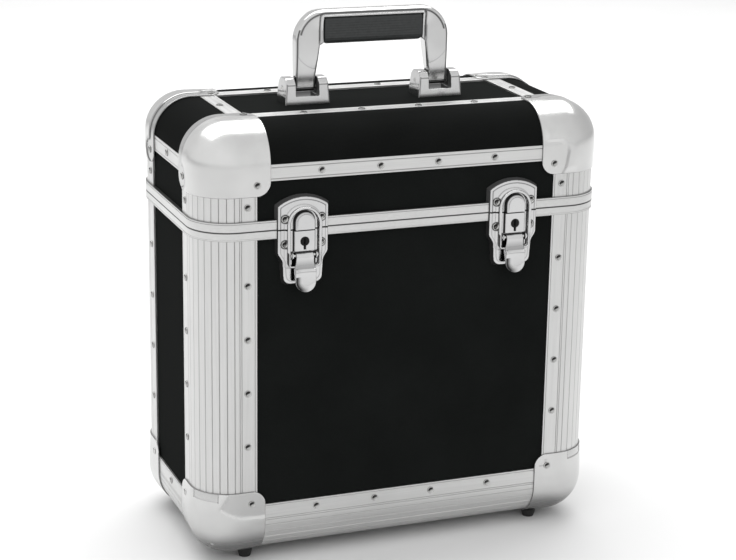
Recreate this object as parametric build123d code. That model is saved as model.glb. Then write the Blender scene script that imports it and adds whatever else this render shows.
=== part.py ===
from build123d import *
import os
from math import cos, sin, radians, pi

# ---------------------------------------------------------------- driving sizes (mm)
# Record carrying case: boards held in round-cornered aluminium extrusions, ball corners,
# hinged lid, two locking bail latches and a folding carrying handle.
# X is the width, Y the depth (front is -Y), Z up, origin on the floor under the middle.
W, D = 360.0, 188.0            # outer flange planes
Z_BOT, Z_TOP = 8.0, 379.5      # underside and top planes of the extrusions
R = 33.0                       # radius of every outer edge and ball corner
SKIN = 1.5                     # extrusion wall
BOARD = 6.9                    # laminated board
SLOT = 7.0                     # board slot in the extrusions
FL_V = 48.5                    # flange edge from the neighbouring plane, vertical and bottom profiles
WEB = 34.0                     # start of the slot's closing web
Z_SEAM = 294.6                 # lid line and hinge axis height
BAND = 1.5                     # how far the lid line band stands proud
Z_BB, Z_BT = 287.5, 303.0      # band, lower and upper edge
GAP = 0.15                     # half the gap between the two rims
LID_V0, LID_V1 = 30.9, 44.3    # lid edge profile, side flange, down from the top plane
LID_U0, LID_U1 = 40.5, 54.0    # lid edge profile, top flange, in from the side plane
RIV_R, RIV_H = 3.0, 1.25       # rivet head
SHANK = 1.6
CAP_T, CAP_BULGE = 1.2, 2.4    # corner cap rim and ball above the extrusions
LID_CAP_X, LID_CAP_Y, LID_CAP_Z = 120.0, 39.0, 323.0
BASE_CAP_X, BASE_CAP_Y, BASE_CAP_Z = 124.5, 38.5, 69.5
FOOT_X, FOOT_Y = 134.0, 66.0
LATCH_X = 93.5
PLATE_F = -97.7                # front of the latch plates
LEVER_Y, LEVER_Z = -100.4, 273.2   # lever pin
BAIL_Y, BAIL_Z = -101.6, 264.2     # bail pivot in the lever
BAIL_R = 1.3
BAIL_HALF = 13.4
BAIL_ARC_Z = 299.4
PIN_R = 1.2
HINGE_Y = 99.0
HINGE_R, HINGE_PIN = 3.2, 1.25
HINGE_X, HINGE_W = 100.0, 50.0
HB_X = 60.3                    # handle bracket centres
HP_Z = 391.0                   # handle pivot height
HPIN_R = 2.0

os.makedirs("parts", exist_ok=True)
out = {}


def rect(u0, v0, u1, v1):
    return Pos((u0 + u1) / 2, (v0 + v1) / 2) * Rectangle(abs(u1 - u0), abs(v1 - v0))


def box(x0, y0, z0, x1, y1, z1):
    return Pos((x0 + x1) / 2, (y0 + y1) / 2, (z0 + z1) / 2) * Box(abs(x1 - x0), abs(y1 - y0), abs(z1 - z0))


def ex(section, amount, plane=Plane.XY, taper=0.0):
    """raise a section from its plane along the plane's own normal, whichever way the face is wound"""
    return extrude(plane * section, amount, dir=tuple(plane.z_dir), taper=taper)


def rr(t):
    """outline of the case seen from above, offset outwards by t"""
    return RectangleRounded(W + 2 * t, D + 2 * t, R + t)


def ring(t_out, t_in, z0, z1):
    return Pos(0, 0, z0) * ex(rr(t_out) - rr(t_in), z1 - z0)


def rb(t):
    """the whole rounded case envelope, offset outwards by t"""
    b = Pos(0, 0, (Z_BOT + Z_TOP) / 2) * Box(W + 2 * t, D + 2 * t, Z_TOP - Z_BOT + 2 * t)
    return fillet(b.edges(), R + t)


def arc_band(d0, d1):
    c = Pos(R, R) * Circle(R - d0) - Pos(R, R) * Circle(R - d1)
    return c & rect(0, 0, R, R)


def vgroove_arc(deg):
    t, d = radians(deg), 0.5 / R
    p = lambda r, a: (R + r * cos(a), R + r * sin(a))
    return Polygon(p(R + 0.3, t - 1.6 * d), p(R + 0.3, t + 1.6 * d), p(R - 0.4, t), align=None)


def vgroove_flat(u):
    return Polygon((u - 0.8, -0.3), (u + 0.8, -0.3), (u, 0.4), align=None)


def swap(s):
    """swap u and v of a section"""
    return mirror(s, about=Plane(origin=(0, 0, 0), x_dir=(1, 1, 0), z_dir=(1, -1, 0)))


def holes_in(part, cyls):
    b = part.bounding_box()
    use = []
    for c in cyls:
        k = c.bounding_box()
        if (k.min.X < b.max.X and k.max.X > b.min.X and k.min.Y < b.max.Y and k.max.Y > b.min.Y
                and k.min.Z < b.max.Z and k.max.Z > b.min.Z):
            use.append(c)
    for c in use:
        part = part - c
    return part


def put(name, shape):
    out[name] = shape


# ---------------------------------------------------------------- profile sections
slot0, slot1 = SKIN, SKIN + SLOT
IN0, IN1 = slot1, slot1 + SKIN          # inner skin, 8.5 to 10 deep
grooves = [vgroove_arc(a) for a in (186, 197, 208.5, 219.5, 230.5, 241.5, 253, 264)]
flat_grooves = [vgroove_flat(u) for u in (R + 0.9, R + 2.5, FL_V - 1.6)]

core = arc_band(0, SKIN) + arc_band(IN0, IN1)
for g in grooves:
    core = core - g
flat_u = (rect(R, 0, FL_V, SKIN) + rect(R, IN0, FL_V, IN1) + rect(WEB, 0, WEB + SKIN, IN1))
for g in flat_grooves:
    flat_u = flat_u - g
flat_v = swap(flat_u)

# vertical profile of the base at the (-X, -Y) corner; the flanges stop above the bottom profiles
zv0 = Z_BOT + R
zfl = Z_BOT + FL_V + 0.05
z_wall_top = Z_SEAM - GAP - 2.0
o_xy = Pos(-W / 2, -D / 2)
prof = (o_xy * Pos(0, 0, zv0) * ex(core, z_wall_top - zv0)
        + o_xy * Pos(0, 0, zfl) * ex(flat_u, z_wall_top - zfl)
        + o_xy * Pos(0, 0, zfl) * ex(flat_v, z_wall_top - zfl))
corner_base = prof

# vertical profile of the lid
z_wall_bot = Z_SEAM + GAP + 3.7
zl1 = Z_TOP - LID_V1 - 0.05
zl2 = Z_TOP - R
corner_lid = (o_xy * Pos(0, 0, z_wall_bot) * ex(core, zl2 - z_wall_bot)
              + o_xy * Pos(0, 0, z_wall_bot) * ex(flat_u, zl1 - z_wall_bot)
              + o_xy * Pos(0, 0, z_wall_bot) * ex(flat_v, zl1 - z_wall_bot))


def four(shape):
    a = shape
    b = mirror(shape, about=Plane.YZ)
    c = mirror(shape, about=Plane.XZ)
    d = mirror(b, about=Plane.XZ)
    return {"front_left": a, "front_right": b, "back_left": c, "back_right": d}


def along_x(section, half, z_origin):
    pl = Plane(origin=(-half, -D / 2, z_origin), x_dir=(0, 1, 0), z_dir=(1, 0, 0))
    return ex(section, 2 * half, pl)


def along_y(section, half, z_origin):
    pl = Plane(origin=(-W / 2, half, z_origin), x_dir=(1, 0, 0), z_dir=(0, -1, 0))
    return ex(section, 2 * half, pl)


hx, hy = W / 2 - R, D / 2 - R
hy_short = D / 2 - FL_V - 0.05
# bottom edge profiles: the front and back ones run the full width, the side ones stop between them
bot_front = along_x(core, hx, Z_BOT) + along_x(flat_u, hx, Z_BOT) + along_x(flat_v, hx, Z_BOT)
bot_left = along_y(core, hy, Z_BOT) + along_y(flat_v, hy, Z_BOT) + along_y(flat_u, hy_short, Z_BOT)

# lid edge section, u in from the side plane, v down from the top plane
BED0, BED1 = 1.3, 2.8                   # bed under the covering strip
low = rect(-1, LID_V0, R, R)            # the part of the quadrant below the strip
arc_flange = arc_band(0, BED1) & low
arc_bed = arc_band(BED0, BED1)
lid_core = arc_bed + arc_flange + arc_band(IN0, IN1)
lid_side = (rect(0, R, SKIN, LID_V1) + rect(0, R, BED1, WEB) + rect(0, WEB, IN1, WEB + SKIN)
            + rect(IN0, R, IN1, LID_V1))
lid_side = lid_side - swap(vgroove_flat(LID_V1 - 1.6)) - swap(vgroove_flat(LID_V0 + 2.6))
W2 = LID_U0 + 2.0
lid_top = (rect(R, BED0, LID_U0, BED1) + rect(LID_U0, 0, W2, BED1) + rect(LID_U0, 0, LID_U1, SKIN)
           + rect(W2, 0, W2 + SKIN, IN1) + rect(R, IN0, LID_U1, IN1))
lid_top = lid_top - vgroove_flat(LID_U1 - 1.6) - vgroove_flat(LID_U0 + 1.6)
hy_lid = D / 2 - LID_U1 - 0.05


def flip(shape):
    """a piece drawn up from z = 0 turned over to hang down from the top plane"""
    return Pos(0, 0, Z_TOP) * mirror(shape, about=Plane.XY)


lid_front = flip(along_x(lid_core, hx, 0) + along_x(lid_side, hx, 0) + along_x(lid_top, hx, 0))
lid_left = flip(along_y(lid_core, hy, 0) + along_y(lid_side, hy, 0) + along_y(lid_top, hy_lid, 0))

# covering strip over the rounded lid edges
STR0, STR1 = 0.3, 1.25
strip_arc = arc_band(STR0, STR1) & rect(-1, -1, R, LID_V0 - 0.08)
strip_flat = rect(R, STR0, LID_U0 - 0.08, STR1)
strip_front = flip(along_x(strip_arc + strip_flat, hx - 6, 0))
strip_left = flip(along_y(strip_arc, hy - 6, 0) + along_y(strip_flat, hy_lid - 0.05, 0))

# ---------------------------------------------------------------- rims
cs = [rect(sx * (W / 2 + 9), sy * (D / 2 + 9), sx * (W / 2 - FL_V - 0.1), sy * (D / 2 - FL_V - 0.1))
      for sx in (-1, 1) for sy in (-1, 1)]
wide = rr(0.05) - rr(-IN1 - 0.05)
corners2d = (wide & cs[0]) + (wide & cs[1]) + (wide & cs[2]) + (wide & cs[3])
slot2d = (rr(-SKIN + 0.05) - rr(-IN0 - 0.05)) + corners2d
lip2d = rr(BAND) - rr(-IN1 - 1.5) - slot2d
plate2d = rr(BAND) - rr(-IN1 - 1.5)
zb1 = Z_SEAM - GAP
base_rim = (Pos(0, 0, Z_BB) * ex(lip2d, z_wall_top + 0.05 - Z_BB)
            + Pos(0, 0, z_wall_top + 0.05) * ex(plate2d, zb1 - z_wall_top - 0.05)
            + ring(-2.5, -5.0, zb1 - 0.5, zb1 + 2.0))
zl0 = Z_SEAM + GAP
lid_rim = (Pos(0, 0, zl0) * ex(plate2d, z_wall_bot - 0.05 - zl0)
           + Pos(0, 0, z_wall_bot - 0.05) * ex(lip2d, Z_BT - z_wall_bot + 0.05)
           - ring(-2.1, -5.4, zl0 - 1, zl0 + 2.2))
# bead lines pressed along the two bands
for zz in (Z_BB + 1.5,):
    g = ring(BAND + 1, BAND - 0.35, zz - 0.25, zz + 0.25)
    base_rim = base_rim - g
for zz in (Z_BT - 1.5,):
    g = ring(BAND + 1, BAND - 0.35, zz - 0.25, zz + 0.25)
    lid_rim = lid_rim - g

# ---------------------------------------------------------------- boards
b0, b1 = SKIN + 0.05, SKIN + 0.05 + BOARD
e = WEB + SKIN + 0.1                     # board edge in from the neighbouring plane
zt = z_wall_top
zb = z_wall_bot
base_front = box(-W / 2 + e, -D / 2 + b0, Z_BOT + e, W / 2 - e, -D / 2 + b1, zt)
base_left = box(-W / 2 + b0, -D / 2 + e, Z_BOT + e, -W / 2 + b1, D / 2 - e, zt)
floor_board = box(-W / 2 + e, -D / 2 + e, Z_BOT + b0, W / 2 - e, D / 2 - e, Z_BOT + b1)
lid_z1 = Z_TOP - e
lid_fb = box(-W / 2 + e, -D / 2 + b0, zb, W / 2 - e, -D / 2 + b1, lid_z1)
lid_lb = box(-W / 2 + b0, -D / 2 + e, zb, -W / 2 + b1, D / 2 - e, lid_z1)
te = W2 + SKIN + 0.1
top_board = box(-W / 2 + te, -D / 2 + te, Z_TOP - b1, W / 2 - te, D / 2 - te, Z_TOP - b0)

# ---------------------------------------------------------------- rivets
def rivet(shank_len):
    rs = (RIV_R ** 2 + RIV_H ** 2) / (2 * RIV_H)
    head = (Pos(0, 0, RIV_H - rs) * Sphere(rs)) & (Pos(0, 0, RIV_H / 2) * Cylinder(RIV_R + 0.2, RIV_H))
    return head + Pos(0, 0, -shank_len / 2) * Cylinder(SHANK, shank_len)


def place(shape, p, n):
    """put a fastener drawn along +Z at p with its head looking along n"""
    return Plane(origin=p, z_dir=n) * shape


RV = rivet(8.0)
RV_LONG = rivet(12.0)
RV_CAP = rivet(9.0)


base_riv, lid_riv, base_holes, lid_holes = [], [], [], []


def add(riv, hol, kind, p, n, depth):
    riv.append(place(kind, p, n))
    c = Pos(0, 0, -(depth / 2) + 0.75) * Cylinder(SHANK + 0.05, depth + 1.5)
    hol.append(place(c, p, n))


for s in (-1, 1):
    nf, nx = (0, s, 0), (s, 0, 0)
    for sx in (-1, 1):
        for z in (249.0, 203.0, 156.5, 109.5):
            add(base_riv, base_holes, RV, (sx * 139.5, s * D / 2, z), nf, 8.1)
            add(base_riv, base_holes, RV, (s * W / 2, sx * 54.0, z), nx, 8.1)
        add(lid_riv, lid_holes, RV, (sx * 139.5, s * D / 2, 314.5), nf, 8.1)
        add(lid_riv, lid_holes, RV, (s * W / 2, sx * 54.0, 314.5), nx, 8.1)
        # corner caps
        add(lid_riv, lid_holes, RV_CAP, (sx * 131.5, s * (D / 2 + CAP_T), 332.5), nf, 9.1)
        add(lid_riv, lid_holes, RV_CAP, (s * (W / 2 + CAP_T), sx * 50.5, 334.0), nx, 9.1)
        add(lid_riv, lid_holes, RV_CAP, (sx * 127.8, s * 45.8, Z_TOP + CAP_T), (0, 0, 1), 9.1)
        add(base_riv, base_holes, RV_CAP, (sx * 136.5, s * (D / 2 + CAP_T), 58.5), nf, 9.1)
        add(base_riv, base_holes, RV_CAP, (s * (W / 2 + CAP_T), sx * 50.0, 58.0), nx, 9.1)
    for x in (-76.5, -25.5, 25.5, 76.5):
        add(lid_riv, lid_holes, RV, (x, s * D / 2, 341.5), nf, 8.1)
        add(lid_riv, lid_holes, RV, (x, s * 48.0, Z_TOP), (0, 0, 1), 8.1)
    for x in (-79.0, -26.0, 26.0, 79.0):
        add(base_riv, base_holes, RV, (x, s * D / 2, 49.5), nf, 8.1)
    add(lid_riv, lid_holes, RV, (s * W / 2, 0, 342.0), nx, 8.1)
    add(lid_riv, lid_holes, RV, (s * 134.0, 0, Z_TOP), (0, 0, 1), 8.1)
    add(base_riv, base_holes, RV, (s * W / 2, 0, 49.0), nx, 8.1)
    # latch plates and hinge leaves
    for q in (-15.7, 15.7):
        add(base_riv, base_holes, RV_LONG, (s * LATCH_X + q, PLATE_F, 282.5), (0, -1, 0), 12.1)
        add(lid_riv, lid_holes, RV_LONG, (s * LATCH_X + q, PLATE_F, 303.7), (0, -1, 0), 12.1)
    for q in (-17.0, 17.0):
        for dz in (20.0, 32.5):
            yb = D / 2 - SKIN + 1.2
            add(base_riv, base_holes, RV, (s * HINGE_X + q, yb, Z_SEAM - dz), (0, 1, 0), 8.1)
            add(lid_riv, lid_holes, RV, (s * HINGE_X + q, yb, Z_SEAM + dz), (0, 1, 0), 8.1)

# ---------------------------------------------------------------- feet
foot_holes, feet, screws = [], [], []
rb_bulge = rb(CAP_BULGE + 0.03)
for sx in (-1, 1):
    for sy in (-1, 1):
        c = Pos(sx * FOOT_X, sy * FOOT_Y, 0)
        f = c * Pos(0, 0, 4.25) * Cone(5.0, 7.3, 8.5)
        f = f - rb_bulge
        f = f - c * Pos(0, 0, 1.1) * Cylinder(3.4, 2.2) - c * Pos(0, 0, 6) * Cylinder(1.85, 14)
        feet.append(f)
        screws.append(c * (Pos(0, 0, 1.5) * Cylinder(3.2, 1.3) + Pos(0, 0, 8.0) * Cylinder(1.75, 12.0)))
        foot_holes.append(c * Pos(0, 0, 8.1) * Cylinder(1.85, 12.6))
base_holes += foot_holes

# ---------------------------------------------------------------- corner caps
rb0, rb1, rb2 = rb(0.06), rb(CAP_T), rb(CAP_BULGE)


def rounded_prism(a0, b0_, a1, b1_, r, plane, length):
    s = Pos((a0 + a1) / 2, (b0_ + b1_) / 2) * RectangleRounded(abs(a1 - a0), abs(b1_ - b0_), r)
    return ex(s, length, plane)


def cap_region(x, y, z, up, inset, r):
    x, y = x + inset, y + inset
    z = z + inset if up else z - inset
    far = 450 if up else -60
    a = rounded_prism(-x, z, -300, far, r, Plane(origin=(0, 0, 0), x_dir=(1, 0, 0), z_dir=(0, -1, 0)), 200)
    b = rounded_prism(-y, z, -300, far, r, Plane(origin=(-300, 0, 0), x_dir=(0, 1, 0), z_dir=(1, 0, 0)), 300)
    c = rounded_prism(-x, -y, -300, -300, r, Plane(origin=(0, 0, -100), x_dir=(1, 0, 0), z_dir=(0, 0, 1)), 600)
    return a & b & c


def corner_cap(x, y, z, up):
    reg1 = cap_region(x, y, z, up, 0.0, 12.0)
    reg2 = cap_region(x, y, z, up, 14.0 if up else 12.0, 14.0)
    return (rb1 & reg1) + (rb2 & reg2) - rb0


lid_cap = corner_cap(LID_CAP_X, LID_CAP_Y, LID_CAP_Z, True)
base_cap = corner_cap(BASE_CAP_X, BASE_CAP_Y, BASE_CAP_Z, False)

# ---------------------------------------------------------------- linings
keep_base = box(-200, -120, 0, 200, 120, Z_BB - 0.1)
keep_lid = box(-200, -120, Z_BT + 0.1, 200, 120, 400)
lin_out, lin_in = rb(-IN1 - 0.1), rb(-IN1 - 4.1)
base_lining = (lin_out - lin_in) & keep_base
lid_lining = (lin_out - lin_in) & keep_lid
PAD_TOP = 33.0
floor_pad = rb(-IN1 - 4.3) & box(-200, -120, 0, 200, 120, PAD_TOP)

# ---------------------------------------------------------------- latches
PLATE_T, PLATE_D = 1.2, 5.2


def plate_shell(outline, inner, z_cut_lo, z_cut_hi, band_lo, band_hi):
    pl = Plane(origin=(0, PLATE_F + PLATE_D, 0), x_dir=(1, 0, 0), z_dir=(0, -1, 0))
    o = ex(outline, PLATE_D, pl, 22)
    i = ex(inner, PLATE_D - PLATE_T, pl, 22)
    o = o & box(-60, -120, z_cut_lo, 60, -80, z_cut_hi)
    i = i & box(-60, -120, z_cut_lo + PLATE_T, 60, -80, z_cut_hi)
    s = o - i
    return s - box(-60, -D / 2 - BAND - 0.06, band_lo, 60, -60, band_hi)


# keeper plate on the lid: arched top, straight foot at the seam
def keeper_outline(k):
    w = 23.25 - k
    pts = [Line((-w, 280), (w, 280)), Line((w, 280), (w, 315 - k * 0.8)),
           ThreePointArc((w, 315 - k * 0.8), (0, 323 - k), (-w, 315 - k * 0.8)), Line((-w, 315 - k * 0.8), (-w, 280))]
    return make_face(Curve() + pts)


def base_outline(k):
    w, w2 = 23.25 - k, 18.3 - k
    zlo = 246.9 + k
    f = Polygon((-w, 310), (w, 310), (w, 274.5), (w - 4.1, 268.0), (w2, 252.5), (w2 - 1.0, zlo), (-w2 + 1.0, zlo),
                (-w2, 252.5), (-w + 4.1, 268.0), (-w, 274.5), align=None)
    vs = [v for v in f.vertices() if v.Z < 500 and v.Y < 251]
    f = fillet(vs, 5.0)
    return f


keeper = plate_shell(keeper_outline(0), keeper_outline(1.2), Z_SEAM + 0.3, 330, Z_SEAM - 5, Z_BT + 0.06)
dome2d = make_face(Curve() + [Line((-9.2, Z_SEAM + 0.3), (9.2, Z_SEAM + 0.3)), Line((9.2, Z_SEAM + 0.3), (9.2, 301.3)),
                              ThreePointArc((9.2, 301.3), (0, 310.5), (-9.2, 301.3)), Line((-9.2, 301.3), (-9.2, Z_SEAM + 0.3))])
pf = Plane(origin=(0, PLATE_F + 0.6, 0), x_dir=(1, 0, 0), z_dir=(0, -1, 0))
dome = ex(dome2d, 7.0, pf)
dome = fillet([ed for ed in dome.edges() if ed.center().Y < PLATE_F - 6 and ed.center().Z > Z_SEAM + 1], 1.8)
# raised field round the dome and the housing, cut back round the rivet heads
SUR_H, SUR_W = 1.0, 14.9
sur_plane = Plane(origin=(0, PLATE_F + 0.4, 0), x_dir=(1, 0, 0), z_dir=(0, -1, 0))
sur_up = make_face(Curve() + [Line((-SUR_W, Z_SEAM + 0.3), (SUR_W, Z_SEAM + 0.3)), Line((SUR_W, Z_SEAM + 0.3), (SUR_W, 302.4)),
                              ThreePointArc((SUR_W, 302.4), (0, 302.4 + SUR_W), (-SUR_W, 302.4)),
                              Line((-SUR_W, 302.4), (-SUR_W, Z_SEAM + 0.3))])
sur_up = ex(sur_up, SUR_H + 0.4, sur_plane)
sur_lo = box(-SUR_W, PLATE_F - SUR_H, 262.0, SUR_W, PLATE_F + 0.4, Z_SEAM - 0.3)
sur_lo = sur_lo - box(-9.1, PLATE_F - 3, 276.3, 9.1, PLATE_F + 1, Z_SEAM) - box(-9.45, PLATE_F - 3, 250, 9.45, PLATE_F + 1, 276.3)
for q in (-15.7, 15.7):
    for zq in (282.5, 303.7):
        c = Pos(q, PLATE_F - 1.5, zq) * Rot(90, 0, 0) * Cylinder(RIV_R + 0.35, 3.0)
        sur_up, sur_lo = sur_up - c, sur_lo - c
keeper = keeper + sur_up + dome

lplate = plate_shell(base_outline(0), base_outline(1.2), 240, Z_SEAM - 0.3, Z_BB - 0.06, Z_SEAM + 5)
housing = box(-9.2, PLATE_F - 4.3, 276.2, 9.2, PLATE_F + 0.6, Z_SEAM - 0.3)
housing = fillet([ed for ed in housing.edges() if ed.center().Y < PLATE_F - 4 and ed.center().Z < Z_SEAM - 1], 0.9)
PLUG_Z = 285.2
housing = housing - place(Pos(0, 0, -2.2) * Cylinder(3.75, 4.6), (0, PLATE_F - 4.4 + 0.0, PLUG_Z), (0, -1, 0))
housing = housing - box(-0.9, PLATE_F - 5, 278.7, 0.9, PLATE_F - 2.3, 282.5)
ears = None
for s in (-1, 1):
    ear = (box(s * 9.5, -101.6, 269.8, s * 10.9, PLATE_F + 0.6, 275.9)
           + Pos(s * 10.2, LEVER_Y, LEVER_Z) * Rot(0, 90, 0) * Cylinder(2.9, 1.4))
    ear = ear & box(s * 9.5, -104, 269, s * 10.9, PLATE_F + 0.6, 277)
    ears = ear if ears is None else ears + ear
pin_axis = lambda r, half: Pos(0, LEVER_Y, LEVER_Z) * Rot(0, 90, 0) * Cylinder(r, 2 * half)
lplate = lplate + sur_lo + housing + ears - pin_axis(PIN_R + 0.02, 20)

lever_pin = pin_axis(PIN_R, 11.0) + Pos(11.3, LEVER_Y, LEVER_Z) * Rot(0, 90, 0) * Cylinder(1.8, 0.6) \
    + Pos(-11.3, LEVER_Y, LEVER_Z) * Rot(0, 90, 0) * Cylinder(1.8, 0.6)

plug = place(Pos(0, 0, -1.7) * Cylinder(3.5, 3.4), (0, PLATE_F - 3.9, PLUG_Z), (0, -1, 0))
plug = plug - box(-0.6, PLATE_F - 5, PLUG_Z - 2.6, 0.6, PLATE_F - 1.8, PLUG_Z + 2.6)

# lever: rolled knuckle on its pin, boss for the bail, dished thumb tab
front_pts = [(-102.4, 274.2), (-103.4, 270.5), (-105.0, 267.0), (-105.7, 263.6), (-105.2, 260.0), (-104.7, 255.5),
             (-105.2, 249.5), (-106.8, 243.0)]
back_pts = [(-105.2, 242.6), (-103.3, 249.0), (-102.1, 255.0), (-100.2, 259.6), (-99.3, 263.6), (-98.8, 269.0),
            (-98.5, 272.3)]
f1 = Spline(*front_pts)
f2 = Spline(*back_pts)
side = make_face(Curve() + [f1, Line(front_pts[-1], back_pts[0]), f2, Line(back_pts[-1], front_pts[0])])
side = side + Pos(LEVER_Y, LEVER_Z) * Circle(2.3)
lever = ex(side, 24, Plane(origin=(-12, 0, 0), x_dir=(0, 1, 0), z_dir=(1, 0, 0)))
zc = 252.3
lever_front = make_face(Curve() + [
    Line((-8.2, 277), (8.2, 277)), Line((8.2, 277), (8.2, 274)), Spline((8.2, 274), (7.9, 269.5), (9.0, 262.5), (9.0, 258), (8.95, zc)),
    ThreePointArc((8.95, zc), (0, 243.3), (-8.95, zc)),
    Spline((-8.95, zc), (-9.0, 258), (-9.0, 262.5), (-7.9, 269.5), (-8.2, 274)), Line((-8.2, 274), (-8.2, 277))])
lever = lever & ex(lever_front, 30, Plane(origin=(0, -90, 0), x_dir=(1, 0, 0), z_dir=(0, -1, 0)))
lever = lever - pin_axis(PIN_R + 0.08, 20)
for s in (-1, 1):
    lever = lever - Pos(s * 8.6, BAIL_Y, BAIL_Z) * Rot(0, 90, 0) * Cylinder(BAIL_R + 0.1, 7.6)

# bail: wire loop from one side of the lever over the dome and back
rbend = 2.8
bp = Plane(origin=(0, BAIL_Y, 0), x_dir=(1, 0, 0), z_dir=(0, -1, 0))
k = rbend * (1 - cos(radians(45)))
h = BAIL_HALF
segs = [Line((-5.2, BAIL_Z), (-h + rbend, BAIL_Z)),
        ThreePointArc((-h + rbend, BAIL_Z), (-h + k, BAIL_Z + k), (-h, BAIL_Z + rbend)),
        Line((-h, BAIL_Z + rbend), (-h, BAIL_ARC_Z)),
        ThreePointArc((-h, BAIL_ARC_Z), (0, BAIL_ARC_Z + h), (h, BAIL_ARC_Z)),
        Line((h, BAIL_ARC_Z), (h, BAIL_Z + rbend)),
        ThreePointArc((h, BAIL_Z + rbend), (h - k, BAIL_Z + k), (h - rbend, BAIL_Z)),
        Line((h - rbend, BAIL_Z), (5.2, BAIL_Z))]
path = bp * (Curve() + segs)
bail = sweep(Plane(origin=(-5.2, BAIL_Y, BAIL_Z), z_dir=(-1, 0, 0)) * Circle(BAIL_R), path=path)

# ---------------------------------------------------------------- hinges
def leaf(lid):
    """one hinge leaf, drawn for the base side: riveted foot, joggle over the band, knuckles"""
    y0 = D / 2 - SKIN
    pts = [(y0, Z_SEAM - 39.1), (y0 + 1.2, Z_SEAM - 39.1), (y0 + 1.2, Z_SEAM - 12.2), (y0 + 4.3, Z_SEAM - 9.4),
           (y0 + 4.3, Z_SEAM - 3.7), (y0 + 3.1, Z_SEAM - 3.7), (y0 + 3.1, Z_SEAM - 8.9), (y0, Z_SEAM - 11.7)]
    pl = Plane(origin=(-HINGE_W / 2, 0, 0), x_dir=(0, 1, 0), z_dir=(1, 0, 0))
    s = ex(Polygon(*pts, align=None), HINGE_W, pl)
    n = 5
    w = HINGE_W / n
    for i in range(n):
        if (i % 2 == 0) != lid:
            g = 0.15
            x0, x1 = -HINGE_W / 2 + i * w + (g if i else 0), -HINGE_W / 2 + (i + 1) * w - (g if i < n - 1 else 0)
            kn = Pos(HINGE_Y, Z_SEAM) * Circle(HINGE_R) + rect(y0 + 3.1, Z_SEAM - 4.5, y0 + 4.3, Z_SEAM)
            s = s + ex(kn, x1 - x0, Plane(origin=(x0, 0, 0), x_dir=(0, 1, 0), z_dir=(1, 0, 0)))
    s = s - Pos(0, HINGE_Y, Z_SEAM) * Rot(0, 90, 0) * Cylinder(HINGE_PIN + (0.06 if lid else 0.02), HINGE_W + 4)
    if lid:
        s = mirror(s, about=Plane(origin=(0, 0, Z_SEAM), z_dir=(0, 0, 1)))
    return s


leaf_b, leaf_l = leaf(False), leaf(True)
hpin = Pos(0, HINGE_Y, Z_SEAM) * Rot(0, 90, 0) * Cylinder(HINGE_PIN, HINGE_W + 0.6)
hpin = hpin + Pos(HINGE_W / 2 + 0.6, HINGE_Y, Z_SEAM) * Rot(0, 90, 0) * Cylinder(2.2, 0.9) \
    + Pos(-HINGE_W / 2 - 0.6, HINGE_Y, Z_SEAM) * Rot(0, 90, 0) * Cylinder(2.2, 0.9)

# ---------------------------------------------------------------- handle
zp = Z_TOP - b0                          # top face of the lid board
br_side = make_face(Curve() + [Line((-12.3, zp), (12.3, zp)), Line((12.3, zp), (11.2, 386)), Spline((11.2, 386), (8.2, 395.4), (0, 400)),
                               Spline((0, 400), (-8.2, 395.4), (-11.2, 386)), Line((-11.2, 386), (-12.3, zp))])
br_front = Polygon((-20, zp), (20, zp), (18.25, 401), (-18.25, 401), align=None)
bracket = ex(br_side, 50, Plane(origin=(-25, 0, 0), x_dir=(0, 1, 0), z_dir=(1, 0, 0))) \
    & ex(br_front, 60, Plane(origin=(0, 30, 0), x_dir=(1, 0, 0), z_dir=(0, -1, 0)))
bracket = bracket - box(-10.25, -20, 385.0, 10.25, 20, 420)
hp_cyl = lambda r, half: Pos(0, 0, HP_Z) * Rot(0, 90, 0) * Cylinder(r, 2 * half)
bracket = bracket - hp_cyl(HPIN_R + 0.02, 30)
handle_pin = hp_cyl(HPIN_R, 19.0)

hw = 68.6
outer = Polygon((-69.4, 386), (-69.4, 402), (-hw, 412), (-hw, 457), (hw, 457), (hw, 412), (69.4, 402), (69.4, 386), align=None)
outer = fillet([v for v in outer.vertices() if v.Y > 450], 27.0)
inner = Polygon((-50.9, 380), (-50.9, 400), (-47.2, 426.5), (-44.2, 428), (-44.2, 449.5), (44.2, 449.5), (44.2, 428),
                (47.2, 426.5), (50.9, 400), (50.9, 380), align=None)
u2d = outer - inner
pxz = Plane(origin=(0, 20, 0), x_dir=(1, 0, 0), z_dir=(0, -1, 0))
frame = ex(u2d, 40, pxz)
leg_side = make_face(Curve() + [Line((-5, 391), (-5, 397.5)), Spline((-5, 397.5), (-5.6, 405), (-6.3, 420)), Line((-6.3, 420), (-7.8, 449)),
                                ThreePointArc((-7.8, 449), (0, 457), (7.8, 449)), Line((7.8, 449), (6.3, 420)),
                                Spline((6.3, 420), (5.6, 405), (5, 397.5)), Line((5, 397.5), (5, 391)),
                                ThreePointArc((5, 391), (0, 386), (-5, 391))])
frame = frame & ex(leg_side, 180, Plane(origin=(-90, 0, 0), x_dir=(0, 1, 0), z_dir=(1, 0, 0)))
spine = box(-45.0, -3.5, 436.0, 45.0, 3.5, 450.5)
frame = frame + spine
for s in (-1, 1):
    frame = frame - Pos(s * HB_X, 0, HP_Z) * Rot(0, 90, 0) * Cylinder(HPIN_R + 0.08, 30)
grip_side = make_face(Curve() + [Line((-7.6, 449.4), (7.6, 449.4)), Line((7.6, 449.4), (7.9, 435)),
                                 ThreePointArc((7.9, 435), (0, 427.2), (-7.9, 435)), Line((-7.9, 435), (-7.6, 449.4))])
grip = ex(grip_side, 88.2, Plane(origin=(-44.1, 0, 0), x_dir=(0, 1, 0), z_dir=(1, 0, 0)))
grip = grip - box(-50, -3.55, 435.9, 50, 3.55, 451)

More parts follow.
